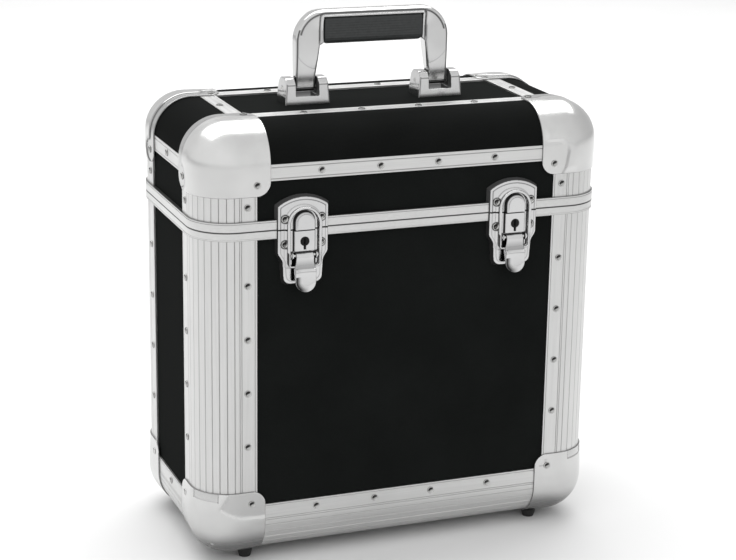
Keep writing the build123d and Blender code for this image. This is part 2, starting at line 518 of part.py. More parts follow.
# ---------------------------------------------------------------- names
names4 = ("front_left", "front_right", "back_left", "back_right")
for nm, s in four(corner_base).items():
    put("corner_profile_" + nm, holes_in(s, base_holes))
lid_cp = [holes_in(s, lid_holes) for s in four(corner_lid).values()]
put("lid_corner_profiles", Compound(children=lid_cp))
for nm, s in four(base_cap).items():
    put("base_corner_cap_" + nm, holes_in(s, base_holes))
for nm, s in four(lid_cap).items():
    put("lid_corner_cap_" + nm, holes_in(s, lid_holes))
fb = lambda s: mirror(s, about=Plane.XZ)
lr = lambda s: mirror(s, about=Plane.YZ)
put("bottom_edge_profile_front", holes_in(bot_front, base_holes))
put("bottom_edge_profile_back", holes_in(fb(bot_front), base_holes))
put("bottom_edge_profile_left", holes_in(bot_left, base_holes))
put("bottom_edge_profile_right", holes_in(lr(bot_left), base_holes))
put("lid_edge_profile_front", holes_in(lid_front, lid_holes))
put("lid_edge_profile_back", holes_in(fb(lid_front), lid_holes))
put("lid_edge_profile_left", holes_in(lid_left, lid_holes))
put("lid_edge_profile_right", holes_in(lr(lid_left), lid_holes))
put("lid_edge_strips", Compound(children=[strip_front, fb(strip_front), strip_left, lr(strip_left)]))
put("base_rim", holes_in(base_rim, base_holes))
put("lid_rim", holes_in(lid_rim, lid_holes))
put("base_front_panel", holes_in(base_front, base_holes))
put("base_back_panel", holes_in(fb(base_front), base_holes))
put("base_left_panel", holes_in(base_left, base_holes))
put("base_right_panel", holes_in(lr(base_left), base_holes))
put("base_floor_panel", floor_board)
put("lid_front_panel", holes_in(lid_fb, lid_holes))
put("lid_back_panel", holes_in(fb(lid_fb), lid_holes))
put("lid_left_panel", holes_in(lid_lb, lid_holes))
put("lid_right_panel", holes_in(lr(lid_lb), lid_holes))
put("lid_top_panel", holes_in(top_board, lid_holes))
put("base_rivets", Compound(children=base_riv))
put("lid_rivets", Compound(children=lid_riv))
put("rubber_feet", Compound(children=feet))
put("foot_screws", Compound(children=screws))
put("base_lining", base_lining)
put("floor_pad", floor_pad)
put("lid_lining", lid_lining)
for s, nm in ((-1, "left"), (1, "right")):
    at = Pos(s * LATCH_X, 0, 0)
    put("latch_keeper_" + nm, holes_in(at * keeper, lid_holes))
    put("latch_base_plate_" + nm, holes_in(at * lplate, base_holes))
    put("latch_lever_" + nm, at * lever)
    put("latch_bail_" + nm, at * bail)
    put("lock_plug_" + nm, at * plug)
    put("handle_bracket_" + nm, Pos(s * HB_X, 0, 0) * bracket)
put("latch_lever_pins", Compound(children=[Pos(-LATCH_X, 0, 0) * lever_pin, Pos(LATCH_X, 0, 0) * lever_pin]))
put("hinge_base_leaves", Compound(children=[holes_in(Pos(s * HINGE_X, 0, 0) * leaf_b, base_holes) for s in (-1, 1)]))
put("hinge_lid_leaves", Compound(children=[holes_in(Pos(s * HINGE_X, 0, 0) * leaf_l, lid_holes) for s in (-1, 1)]))
put("hinge_pins", Compound(children=[Pos(s * HINGE_X, 0, 0) * hpin for s in (-1, 1)]))
put("handle_pins", Compound(children=[Pos(s * HB_X, 0, 0) * handle_pin for s in (-1, 1)]))
put("handle_frame", frame)
put("handle_grip", grip)

for name, shape in out.items():
    export_step(shape, "parts/" + name + ".step")
print(len(out), "nodes")
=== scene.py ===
import bpy
import math
import numpy as np
from mathutils import Vector, Matrix

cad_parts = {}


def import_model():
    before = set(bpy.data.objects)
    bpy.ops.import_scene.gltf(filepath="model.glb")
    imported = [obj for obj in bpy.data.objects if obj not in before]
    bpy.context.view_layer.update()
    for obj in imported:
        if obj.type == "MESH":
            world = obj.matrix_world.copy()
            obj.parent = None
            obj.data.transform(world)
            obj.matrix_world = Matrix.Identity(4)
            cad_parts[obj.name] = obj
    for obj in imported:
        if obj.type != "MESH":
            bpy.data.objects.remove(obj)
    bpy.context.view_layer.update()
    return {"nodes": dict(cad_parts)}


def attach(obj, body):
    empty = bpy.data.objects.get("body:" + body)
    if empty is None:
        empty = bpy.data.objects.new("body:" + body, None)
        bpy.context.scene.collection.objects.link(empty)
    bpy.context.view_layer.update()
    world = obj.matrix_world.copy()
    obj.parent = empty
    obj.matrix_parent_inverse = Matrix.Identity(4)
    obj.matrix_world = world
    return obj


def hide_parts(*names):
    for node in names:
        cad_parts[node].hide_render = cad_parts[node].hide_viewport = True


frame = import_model()
MM = 0.001
NODES = frame["nodes"]

# ------------------------------------------------------------------ sizes (mm), as in the CAD model
W, D = 360.0, 188.0
Z_BOT, Z_TOP = 8.0, 379.5
R = 33.0
Z_SEAM = 294.6
Z_BB, Z_BT = 287.5, 303.0
LATCH_X = 93.5
PLATE_F = -97.7
LEVER_Y, LEVER_Z = -100.4, 273.2
BAIL_Y, BAIL_Z = -101.6, 264.2
HB_X, HP_Z = 60.3, 391.0


# ------------------------------------------------------------------ mesh helpers
def obj_from(name, verts, faces, normals=None, smooth=True):
    """verts in mm, faces as an (n, 4) array (a triangle repeats its last corner) or a list"""
    me = bpy.data.meshes.new(name)
    if isinstance(faces, np.ndarray) and faces.shape[1] == 4 and not (faces[:, 2] == faces[:, 3]).any():
        n = len(faces)
        me.vertices.add(len(verts))
        me.vertices.foreach_set("co", (np.asarray(verts, np.float64) * MM).astype(np.float32).ravel())
        me.loops.add(4 * n)
        me.loops.foreach_set("vertex_index", faces.astype(np.int32).ravel())
        me.polygons.add(n)
        me.polygons.foreach_set("loop_start", np.arange(0, 4 * n, 4, dtype=np.int32))
        me.update(calc_edges=True)
    else:
        fl = []
        for f in faces:
            f = list(int(i) for i in f)
            if len(f) == 4 and f[2] == f[3]:
                f = f[:3]
            fl.append(f)
        me.from_pydata([tuple(v * MM for v in p) for p in np.asarray(verts, float)], [], fl)
        me.update()
    me.validate()
    me.polygons.foreach_set("use_smooth", [smooth] * len(me.polygons))
    if normals is not None and len(me.vertices) == len(normals):
        me.normals_split_custom_set_from_vertices([tuple(n) for n in np.asarray(normals, float)])
    o = bpy.data.objects.new(name, me)
    bpy.context.scene.collection.objects.link(o)
    return o


def smin(a, b, k):
    h = np.clip(0.5 + 0.5 * (b - a) / k, 0, 1)
    return b * (1 - h) + a * h - k * h * (1 - h)


def smax(a, b, k):
    return -smin(-a, -b, k)


def sstep(a, b, x):
    t = np.clip((x - a) / (b - a), 0, 1)
    return t * t * (3 - 2 * t)


def sd_rect(x, y, x0, y0, x1, y1, r=0.0):
    qx = np.abs(x - (x0 + x1) / 2) - ((x1 - x0) / 2 - r)
    qy = np.abs(y - (y0 + y1) / 2) - ((y1 - y0) / 2 - r)
    return np.hypot(np.maximum(qx, 0), np.maximum(qy, 0)) + np.minimum(np.maximum(qx, qy), 0) - r


def sd_poly(x, y, pts):
    x, y = np.broadcast_arrays(x, y)
    p = np.asarray(pts, float)
    d = np.full(x.shape, 1e18)
    inside = np.zeros(x.shape, bool)
    n = len(p)
    for i in range(n):
        a, b = p[i], p[(i + 1) % n]
        e = b - a
        wx, wy = x - a[0], y - a[1]
        t = np.clip((wx * e[0] + wy * e[1]) / (e @ e), 0, 1)
        d = np.minimum(d, (wx - e[0] * t) ** 2 + (wy - e[1] * t) ** 2)
        if a[1] != b[1]:
            cond = (a[1] > y) != (b[1] > y)
            xi = a[0] + (y - a[1]) * (b[0] - a[0]) / (b[1] - a[1])
            inside ^= cond & (x < xi)
    d = np.sqrt(d)
    return np.where(inside, -d, d)


def sd_cyl_x(x, y, z, cy, cz, r, x0, x1):
    return np.maximum(np.hypot(y - cy, z - cz) - r, np.abs(x - (x0 + x1) / 2) - (x1 - x0) / 2)


def iso(f, lo, hi, h, steps=4):
    """closed surface of f = 0 as quads: surface nets, then every point moved onto the surface"""
    lo, hi = np.asarray(lo, float), np.asarray(hi, float)
    n = np.ceil((hi - lo) / h).astype(int) + 1
    ax = [lo[i] + h * np.arange(n[i]) for i in range(3)]
    F = f(ax[0][:, None, None], ax[1][None, :, None], ax[2][None, None, :]).astype(np.float32)
    S = F < 0
    assert not (S[0].any() or S[-1].any() or S[:, 0].any() or S[:, -1].any() or S[:, :, 0].any() or S[:, :, -1].any())
    c = np.zeros(tuple(n - 1), np.int8)
    for i in (0, 1):
        for j in (0, 1):
            for k in (0, 1):
                c += S[i:n[0] - 1 + i, j:n[1] - 1 + j, k:n[2] - 1 + k]
    act = (c > 0) & (c < 8)
    ci = np.argwhere(act)
    idx = np.full(c.shape, -1, np.int64)
    idx[act] = np.arange(len(ci))
    acc, cnt = np.zeros((len(ci), 3)), np.zeros(len(ci))
    corners = [(i, j, k) for i in (0, 1) for j in (0, 1) for k in (0, 1)]
    for a in corners:
        for axis in range(3):
            if a[axis]:
                continue
            b = list(a)
            b[axis] = 1
            Fa = F[ci[:, 0] + a[0], ci[:, 1] + a[1], ci[:, 2] + a[2]]
            Fb = F[ci[:, 0] + b[0], ci[:, 1] + b[1], ci[:, 2] + b[2]]
            m = (Fa < 0) != (Fb < 0)
            t = (Fa[m] / (Fa[m] - Fb[m])).astype(float)
            p = np.array(a, float)[None, :].repeat(m.sum(), 0)
            p[:, axis] += t
            acc[m] += p
            cnt[m] += 1
    P = (ci + acc / cnt[:, None]) * h + lo
    quads = []
    for axis in range(3):
        u, v = (axis + 1) % 3, (axis + 2) % 3
        s0 = np.moveaxis(S, (axis, u, v), (0, 1, 2))
        ii = np.moveaxis(idx, (axis, u, v), (0, 1, 2))
        ch = s0[:-1, 1:-1, 1:-1] != s0[1:, 1:-1, 1:-1]
        e = np.argwhere(ch)
        if not len(e):
            continue
        i, j, k = e[:, 0], e[:, 1] + 1, e[:, 2] + 1
        q = np.stack([ii[i, j - 1, k - 1], ii[i, j, k - 1], ii[i, j, k], ii[i, j - 1, k]], 1)
        flip = ~s0[i, j, k]
        q[flip] = q[flip][:, ::-1]
        quads.append(q)
    Q = np.concatenate(quads)
    start = P.copy()
    for _ in range(steps):
        g, f0 = grad(f, P)
        P = P - (f0 / np.maximum((g * g).sum(1), 0.05))[:, None] * g
        dlt = P - start
        ln = np.linalg.norm(dlt, axis=1)
        P = start + dlt * np.minimum(1, (0.9 * h) / np.maximum(ln, 1e-9))[:, None]
    g, _ = grad(f, P)
    N = g / np.maximum(np.linalg.norm(g, axis=1), 1e-9)[:, None]
    return P, Q, N


def grad(f, P, e=0.04):
    g = np.zeros_like(P)
    for a in range(3):
        d = np.zeros(3)
        d[a] = e
        A, B = P + d, P - d
        g[:, a] = (f(A[:, 0], A[:, 1], A[:, 2]) - f(B[:, 0], B[:, 1], B[:, 2])) / (2 * e)
    return g, f(P[:, 0], P[:, 1], P[:, 2])


def cavity(f, P, N, steps=(0.35, 0.8, 1.5, 2.6), lo=0.12, hi=0.7, top=0.9):
    """how far the surface round each point closes in on it, 0 in the open"""
    occ, wsum = 0.0, 0.0
    for s in steps:
        q = P + N * s
        w = 1.0 / (0.6 + s)
        occ = occ + w * np.clip((s - f(q[:, 0], q[:, 1], q[:, 2])) / s, 0, 1.2)
        wsum += w
    return top * sstep(lo, hi, occ / wsum)


def shade(o, values):
    """store the painted shade for the material: closed-in-ness, painted shadow lines and painted reflections"""
    a = o.data.attributes.new("cav", "FLOAT", "POINT")
    a.data.foreach_set("value", np.asarray(values, np.float32))


def mirrored(V, Q, N, sx=1, sy=1):
    V, N = V * np.array([sx, sy, 1]), N * np.array([sx, sy, 1])
    if sx * sy < 0:
        Q = Q[:, ::-1]
    return V, Q, N


# ------------------------------------------------------------------ materials
def mat(name, base, metallic=0.0, rough=0.5, spec=0.5, coat=0.0, coat_rough=0.1, sheen=0.0):
    m = bpy.data.materials.new(name)
    m.use_nodes = True
    nt = m.node_tree
    b = nt.nodes["Principled BSDF"]
    b.inputs["Base Color"].default_value = (*base, 1)
    b.inputs["Metallic"].default_value = metallic
    b.inputs["Roughness"].default_value = rough
    b.inputs["Specular IOR Level"].default_value = spec
    b.inputs["Coat Weight"].default_value = coat
    b.inputs["Coat Roughness"].default_value = coat_rough
    b.inputs["Sheen Weight"].default_value = sheen
    m.diffuse_color = (*base, 1)
    return m, nt, b


def coords(nt, scale):
    tc = nt.nodes.new("ShaderNodeTexCoord")
    mp = nt.nodes.new("ShaderNodeMapping")
    mp.inputs["Scale"].default_value = scale
    nt.links.new(tc.outputs["Object"], mp.inputs["Vector"])
    return mp.outputs["Vector"]


def noise(nt, vec, scale, detail=4.0, rough=0.55):
    n = nt.nodes.new("ShaderNodeTexNoise")
    n.inputs["Scale"].default_value = scale
    n.inputs["Detail"].default_value = detail
    n.inputs["Roughness"].default_value = rough
    nt.links.new(vec, n.inputs["Vector"])
    return n.outputs["Fac"]


def ramp(nt, fac, stops):
    r = nt.nodes.new("ShaderNodeValToRGB")
    el = r.color_ramp.elements
    while len(el) < len(stops):
        el.new(0.5)
    for e, (p, c) in zip(el, stops):
        e.position = p
        e.color = (*c, 1) if len(c) == 3 else c
    nt.links.new(fac, r.inputs["Fac"])
    return r.outputs["Color"]


def vrange(nt, fac, a, b, c, d):
    r = nt.nodes.new("ShaderNodeMapRange")
    for k, v in zip(("From Min", "From Max", "To Min", "To Max"), (a, b, c, d)):
        r.inputs[k].default_value = v
    nt.links.new(fac, r.inputs["Value"])
    return r.outputs["Result"]


def mathn(nt, op, a, b):
    n = nt.nodes.new("ShaderNodeMath")
    n.operation = op
    for i, v in enumerate((a, b)):
        if isinstance(v, (int, float)):
            n.inputs[i].default_value = v
        else:
            nt.links.new(v, n.inputs[i])
    return n.outputs[0]


def bump(nt, b, height, strength, dist):
    n = nt.nodes.new("ShaderNodeBump")
    n.inputs["Strength"].default_value = strength
    n.inputs["Distance"].default_value = dist
    nt.links.new(height, n.inputs["Height"])
    nt.links.new(n.outputs["Normal"], b.inputs["Normal"])


def darken(nt, col, mask, dark=(0.02, 0.02, 0.02)):
    """colour falls to dark where the mask is 1"""
    mx = nt.nodes.new("ShaderNodeMix")
    mx.data_type = "RGBA"
    mx.inputs[7].default_value = (*dark, 1)
    nt.links.new(mask, mx.inputs[0])
    nt.links.new(col, mx.inputs[6])
    return mx.outputs[2]


def stored(nt, name):
    a = nt.nodes.new("ShaderNodeAttribute")
    a.attribute_name = name
    return a.outputs["Fac"]


def axis_split(nt):
    tc = nt.nodes.new("ShaderNodeTexCoord")
    sp = nt.nodes.new("ShaderNodeSeparateXYZ")
    nt.links.new(tc.outputs["Object"], sp.inputs["Vector"])
    return {"x": mathn(nt, "ABSOLUTE", sp.outputs["X"], 0.0), "y": mathn(nt, "ABSOLUTE", sp.outputs["Y"], 0.0), "z": sp.outputs["Z"]}


def line_at(nt, c, pos, w0=0.08, w1=0.5):
    """1 on the line c = pos (mm), falling to 0 on both sides"""
    d = mathn(nt, "ABSOLUTE", mathn(nt, "SUBTRACT", c, pos * MM), 0.0)
    return vrange(nt, d, w0 * MM, w1 * MM, 1.0, 0.0)


def arc_lines(nt, u, v, first=6.0, step=11.143):
    """lines round the rounded corner, every step degrees; u and v are measured from the corner's centre"""
    inside = mathn(nt, "MULTIPLY", mathn(nt, "GREATER_THAN", u, 0.0), mathn(nt, "GREATER_THAN", v, 0.0))
    deg = mathn(nt, "MULTIPLY", mathn(nt, "ARCTAN2", v, u), 180.0 / math.pi)
    t = mathn(nt, "ADD", mathn(nt, "DIVIDE", mathn(nt, "SUBTRACT", deg, first), step), 0.5)
    d = mathn(nt, "ABSOLUTE", mathn(nt, "SUBTRACT", mathn(nt, "FRACT", t, 0.0), 0.5), 0.0)
    mm = mathn(nt, "MULTIPLY", d, step * math.pi / 180.0 * R)
    return mathn(nt, "MULTIPLY", vrange(nt, mm, 0.12, 0.62, 1.0, 0.0), inside)


def strongest(nt, masks):
    r = masks[0]
    for k in masks[1:]:
        r = mathn(nt, "MAXIMUM", r, k)
    return r


FL_V = 48.5
LID_V0, LID_V1, LID_U0, LID_U1 = 30.9, 44.3, 40.5, 54.0


def grooves(nt, along):
    """where the drawn grooves of the extrusions lie, so that they hold their shadow line"""
    ax = axis_split(nt)
    if along == "z":
        u = mathn(nt, "SUBTRACT", ax["x"], (W / 2 - R) * MM)
        v = mathn(nt, "SUBTRACT", ax["y"], (D / 2 - R) * MM)
        ms = [arc_lines(nt, u, v)]
        for k in (R + 0.9, R + 2.5, FL_V - 1.6):
            ms += [line_at(nt, ax["x"], W / 2 - k), line_at(nt, ax["y"], D / 2 - k)]
        return strongest(nt, ms)
    if along in "xy":
        c, half = (ax["y"], D / 2) if along == "x" else (ax["x"], W / 2)
        u = mathn(nt, "SUBTRACT", c, (half - R) * MM)
        v = mathn(nt, "SUBTRACT", (Z_BOT + R) * MM, ax["z"])
        ms = [arc_lines(nt, u, v)]
        for k in (R + 0.9, R + 2.5, FL_V - 1.6):
            ms += [line_at(nt, ax["z"], Z_BOT + k), line_at(nt, c, half - k)]
        ms += [line_at(nt, ax["z"], Z_TOP - (LID_V1 - 1.6)), line_at(nt, ax["z"], Z_TOP - (LID_V0 + 2.6))]
        ms += [mathn(nt, "MULTIPLY", line_at(nt, c, half - k), 0.4) for k in (LID_U1 - 1.6, LID_U0 + 1.6)]
        return strongest(nt, ms)
    # on the rims: painted shadow lines at the seam between base and lid and along the bands' edges
    ms = [line_at(nt, ax["z"], Z_SEAM, 0.42, 0.8), mathn(nt, "MULTIPLY", line_at(nt, ax["z"], Z_BT, 0.2, 0.6), 0.7),
          mathn(nt, "MULTIPLY", line_at(nt, ax["z"], Z_BB, 0.2, 0.7), 0.35),
          mathn(nt, "MULTIPLY", line_at(nt, ax["z"], Z_BT - 1.5, 0.1, 0.5), 0.45)]
    return strongest(nt, ms)


def aluminium(name, along):
    """satin anodised extrusion with the die lines that run along it"""
    m, nt, b = mat(name, (0.60, 0.60, 0.594), 1.0, 0.34)
    sc = {"x": (14, 900, 900), "y": (900, 14, 900), "z": (900, 900, 14), "r": (260, 260, 1500)}[along]
    v = coords(nt, sc)
    lines = noise(nt, v, 1.0, 3.0, 0.6)
    v2 = coords(nt, (9, 9, 9))
    cloud = noise(nt, v2, 1.0, 3.0, 0.5)
    v3 = coords(nt, (70, 70, 70))
    fine = noise(nt, v3, 1.0, 5.0, 0.65)
    col = ramp(nt, mathn(nt, "ADD", mathn(nt, "MULTIPLY", lines, 0.6), mathn(nt, "MULTIPLY", cloud, 0.4)),
               [(0.3, (0.55, 0.55, 0.545)), (0.5, (0.61, 0.61, 0.605)), (0.72, (0.655, 0.655, 0.65))])
    # painted shade: darker along the grooves, and on the rims at the seam and the bands' edges
    mask = mathn(nt, "MULTIPLY", grooves(nt, along), 0.32 if along != "r" else 0.9)
    nt.links.new(darken(nt, col, mask, (0.03, 0.03, 0.03)), b.inputs["Base Color"])
    nt.links.new(vrange(nt, mathn(nt, "ADD", mathn(nt, "MULTIPLY", lines, 0.5), mathn(nt, "MULTIPLY", fine, 0.5)),
                        0.3, 0.7, 0.28, 0.44), b.inputs["Roughness"])
    bump(nt, b, lines, 0.035, 0.0002)
    return m


def plated(name, base, r0, r1, fine_scale=90.0, bump_s=0.03):
    """plated pressed or cast metal: faint smudges in the gloss and a very slight waviness"""
    m, nt, b = mat(name, base, 1.0, (r0 + r1) / 2)
    v = coords(nt, (1, 1, 1))
    smudge = noise(nt, v, 22.0, 5.0, 0.6)
    fine = noise(nt, v, fine_scale * 6, 3.0, 0.6)
    dk = tuple(c * 0.93 for c in base)
    lt = tuple(min(1.0, c * 1.03) for c in base)
    # painted shade: the stored value darkens the colour
    cav = stored(nt, "cav")
    nt.links.new(darken(nt, ramp(nt, smudge, [(0.3, dk), (0.62, lt)]), vrange(nt, cav, 0.0, 0.9, 0.0, 1.0)), b.inputs["Base Color"])
    # painted shade: where the stored value is high the metal stops mirroring, so it reads darker still
    nt.links.new(vrange(nt, cav, 0.35, 0.95, 1.0, 0.06), b.inputs["Metallic"])
    b.inputs["Specular IOR Level"].default_value = 0.03
    nt.links.new(vrange(nt, mathn(nt, "ADD", mathn(nt, "MULTIPLY", smudge, 0.7), mathn(nt, "MULTIPLY", fine, 0.3)),
                        0.3, 0.7, r0, r1), b.inputs["Roughness"])
    bump(nt, b, noise(nt, v, fine_scale, 2.0, 0.5), bump_s, 0.0003)
    return m


def laminate(name, base, r0, r1):
    """matt black laminate with a very fine pebble"""
    m, nt, b = mat(name, base, 0.0, (r0 + r1) / 2, 0.004)
    v = coords(nt, (1, 1, 1))
    peb = nt.nodes.new("ShaderNodeTexVoronoi")
    peb.inputs["Scale"].default_value = 1500.0
    nt.links.new(v, peb.inputs["Vector"])
    big = noise(nt, v, 14.0, 4.0, 0.6)
    fine = noise(nt, v, 900.0, 4.0, 0.6)
    dk = tuple(c * 0.82 for c in base)
    lt = tuple(c * 1.25 for c in base)
    mix = mathn(nt, "ADD", mathn(nt, "MULTIPLY", big, 0.5), mathn(nt, "MULTIPLY", fine, 0.5))
    nt.links.new(ramp(nt, mix, [(0.35, dk), (0.65, lt)]), b.inputs["Base Color"])
    nt.links.new(vrange(nt, mix, 0.35, 0.65, r0, r1), b.inputs["Roughness"])
    bump(nt, b, mathn(nt, "ADD", peb.outputs["Distance"], mathn(nt, "MULTIPLY", fine, 0.5)), 0.18, 0.00012)
    return m


def rubber(name, base, rough):
    m, nt, b = mat(name, base, 0.0, rough, 0.4)
    v = coords(nt, (1, 1, 1))
    f = noise(nt, v, 420.0, 4.0, 0.6)
    dk, lt = tuple(c * 0.8 for c in base), tuple(c * 1.3 for c in base)
    nt.links.new(ramp(nt, f, [(0.35, dk), (0.68, lt)]), b.inputs["Base Color"])
    nt.links.new(vrange(nt, f, 0.3, 0.7, rough - 0.08, rough + 0.08), b.inputs["Roughness"])
    bump(nt, b, f, 0.15, 0.0002)
    return m


def foam(name, base):
    m, nt, b = mat(name, base, 0.0, 0.95, 0.2, sheen=0.25)
    v = coords(nt, (1, 1, 1))
    f = noise(nt, v, 700.0, 5.0, 0.7)
    big = noise(nt, v, 18.0, 3.0, 0.5)
    mix = mathn(nt, "ADD", mathn(nt, "MULTIPLY", f, 0.7), mathn(nt, "MULTIPLY", big, 0.3))
    nt.links.new(ramp(nt, mix, [(0.35, tuple(c * 0.6 for c in base)), (0.7, tuple(c * 1.6 for c in base))]), b.inputs["Base Color"])
    nt.links.new(vrange(nt, f, 0.3, 0.7, 0.85, 1.0), b.inputs["Roughness"])
    bump(nt, b, f, 0.5, 0.0006)
    return m


AL_X, AL_Y, AL_Z, AL_R = (aluminium("aluminium_" + a, a) for a in "xyzr")
CAPM = plated("cap_satin_plate", (0.62, 0.62, 0.616), 0.17, 0.26)
CHROME = plated("latch_chrome", (0.62, 0.62, 0.622), 0.08, 0.15)
HCHROME = plated("handle_chrome", (0.60, 0.60, 0.60), 0.09, 0.16)
RIVM = plated("rivet_steel", (0.52, 0.52, 0.51), 0.14, 0.24, 300.0)
PINM = plated("pin_steel", (0.70, 0.70, 0.69), 0.2, 0.32, 300.0)
HINGEM = plated("hinge_nickel", (0.78, 0.78, 0.76), 0.18, 0.3)
BOARD = laminate("board_laminate", (0.0068, 0.0075, 0.0072), 0.56, 0.70)
STRIPM = laminate("edge_laminate", (0.0056, 0.0060, 0.0058), 0.50, 0.62)
RUB = rubber("foot_rubber", (0.012, 0.012, 0.012), 0.6)
GRIPM = rubber("grip_plastic", (0.022, 0.024, 0.024), 0.5)
LOCKM = plated("lock_dark", (0.02, 0.02, 0.02), 0.35, 0.5, 400.0)
FOAM = foam("foam_lining", (0.022, 0.022, 0.024))
PADM = foam("foam_pad", (0.045, 0.045, 0.048))


def set_mat(node, m):
    o = NODES[node]
    o.data.materials.clear()
    o.data.materials.append(m)


for n in NODES:
    if n.endswith("_panel"):
        set_mat(n, BOARD)
    elif n.startswith("corner_profile") or n == "lid_corner_profiles":
        set_mat(n, AL_Z)
    elif n in ("base_rim", "lid_rim"):
        set_mat(n, AL_R)
    elif n.endswith("profile_front") or n.endswith("profile_back"):
        set_mat(n, AL_X)
    elif n.endswith("profile_left") or n.endswith("profile_right"):
        set_mat(n, AL_Y)
    elif "corner_cap" in n:
        set_mat(n, CAPM)
    elif n == "lid_edge_strips":
        set_mat(n, STRIPM)
    elif n in ("base_rivets", "lid_rivets"):
        set_mat(n, RIVM)
    elif n == "rubber_feet":
        set_mat(n, RUB)
    elif n == "foot_screws" or n.endswith("_pins"):
        set_mat(n, PINM)
    elif n.startswith("hinge_"):
        set_mat(n, HINGEM)
    elif n.startswith("lock_plug"):
        set_mat(n, LOCKM)
    elif n == "handle_grip":
        set_mat(n, GRIPM)
    elif n.startswith("handle_"):
        set_mat(n, HCHROME)
    elif n.startswith("latch_"):
        set_mat(n, CHROME)
    else:
        set_mat(n, FOAM)


# ------------------------------------------------------------------ corner caps
# A cap follows the case's rounded corner. Each of its three faces is laid out from the sharp corner of the
# enclosing box: rays run to the cap's outline, rings follow the outline, and every point is then rolled
# onto the rounded body and lifted by the cap's own relief.
def outline_face(A, B, rc, n):
    """points from (A, 0) round the far corner to (0, B), with distance-even spacing"""
    p = []
    L1, L2, L3 = B - rc, rc * math.pi / 2, A - rc
    tot = L1 + L2 + L3
    for i in range(n + 1):
        s = tot * i / n
        if s <= L1:
            p.append((A, s))
        elif s <= L1 + L2:
            t = (s - L1) / rc
            p.append((A - rc + rc * math.cos(t), B - rc + rc * math.sin(t)))
        else:
            p.append((A - rc - (s - L1 - L2), B))
    p[0], p[-1] = (A, 0.0), (0.0, B)
    return np.array(p)


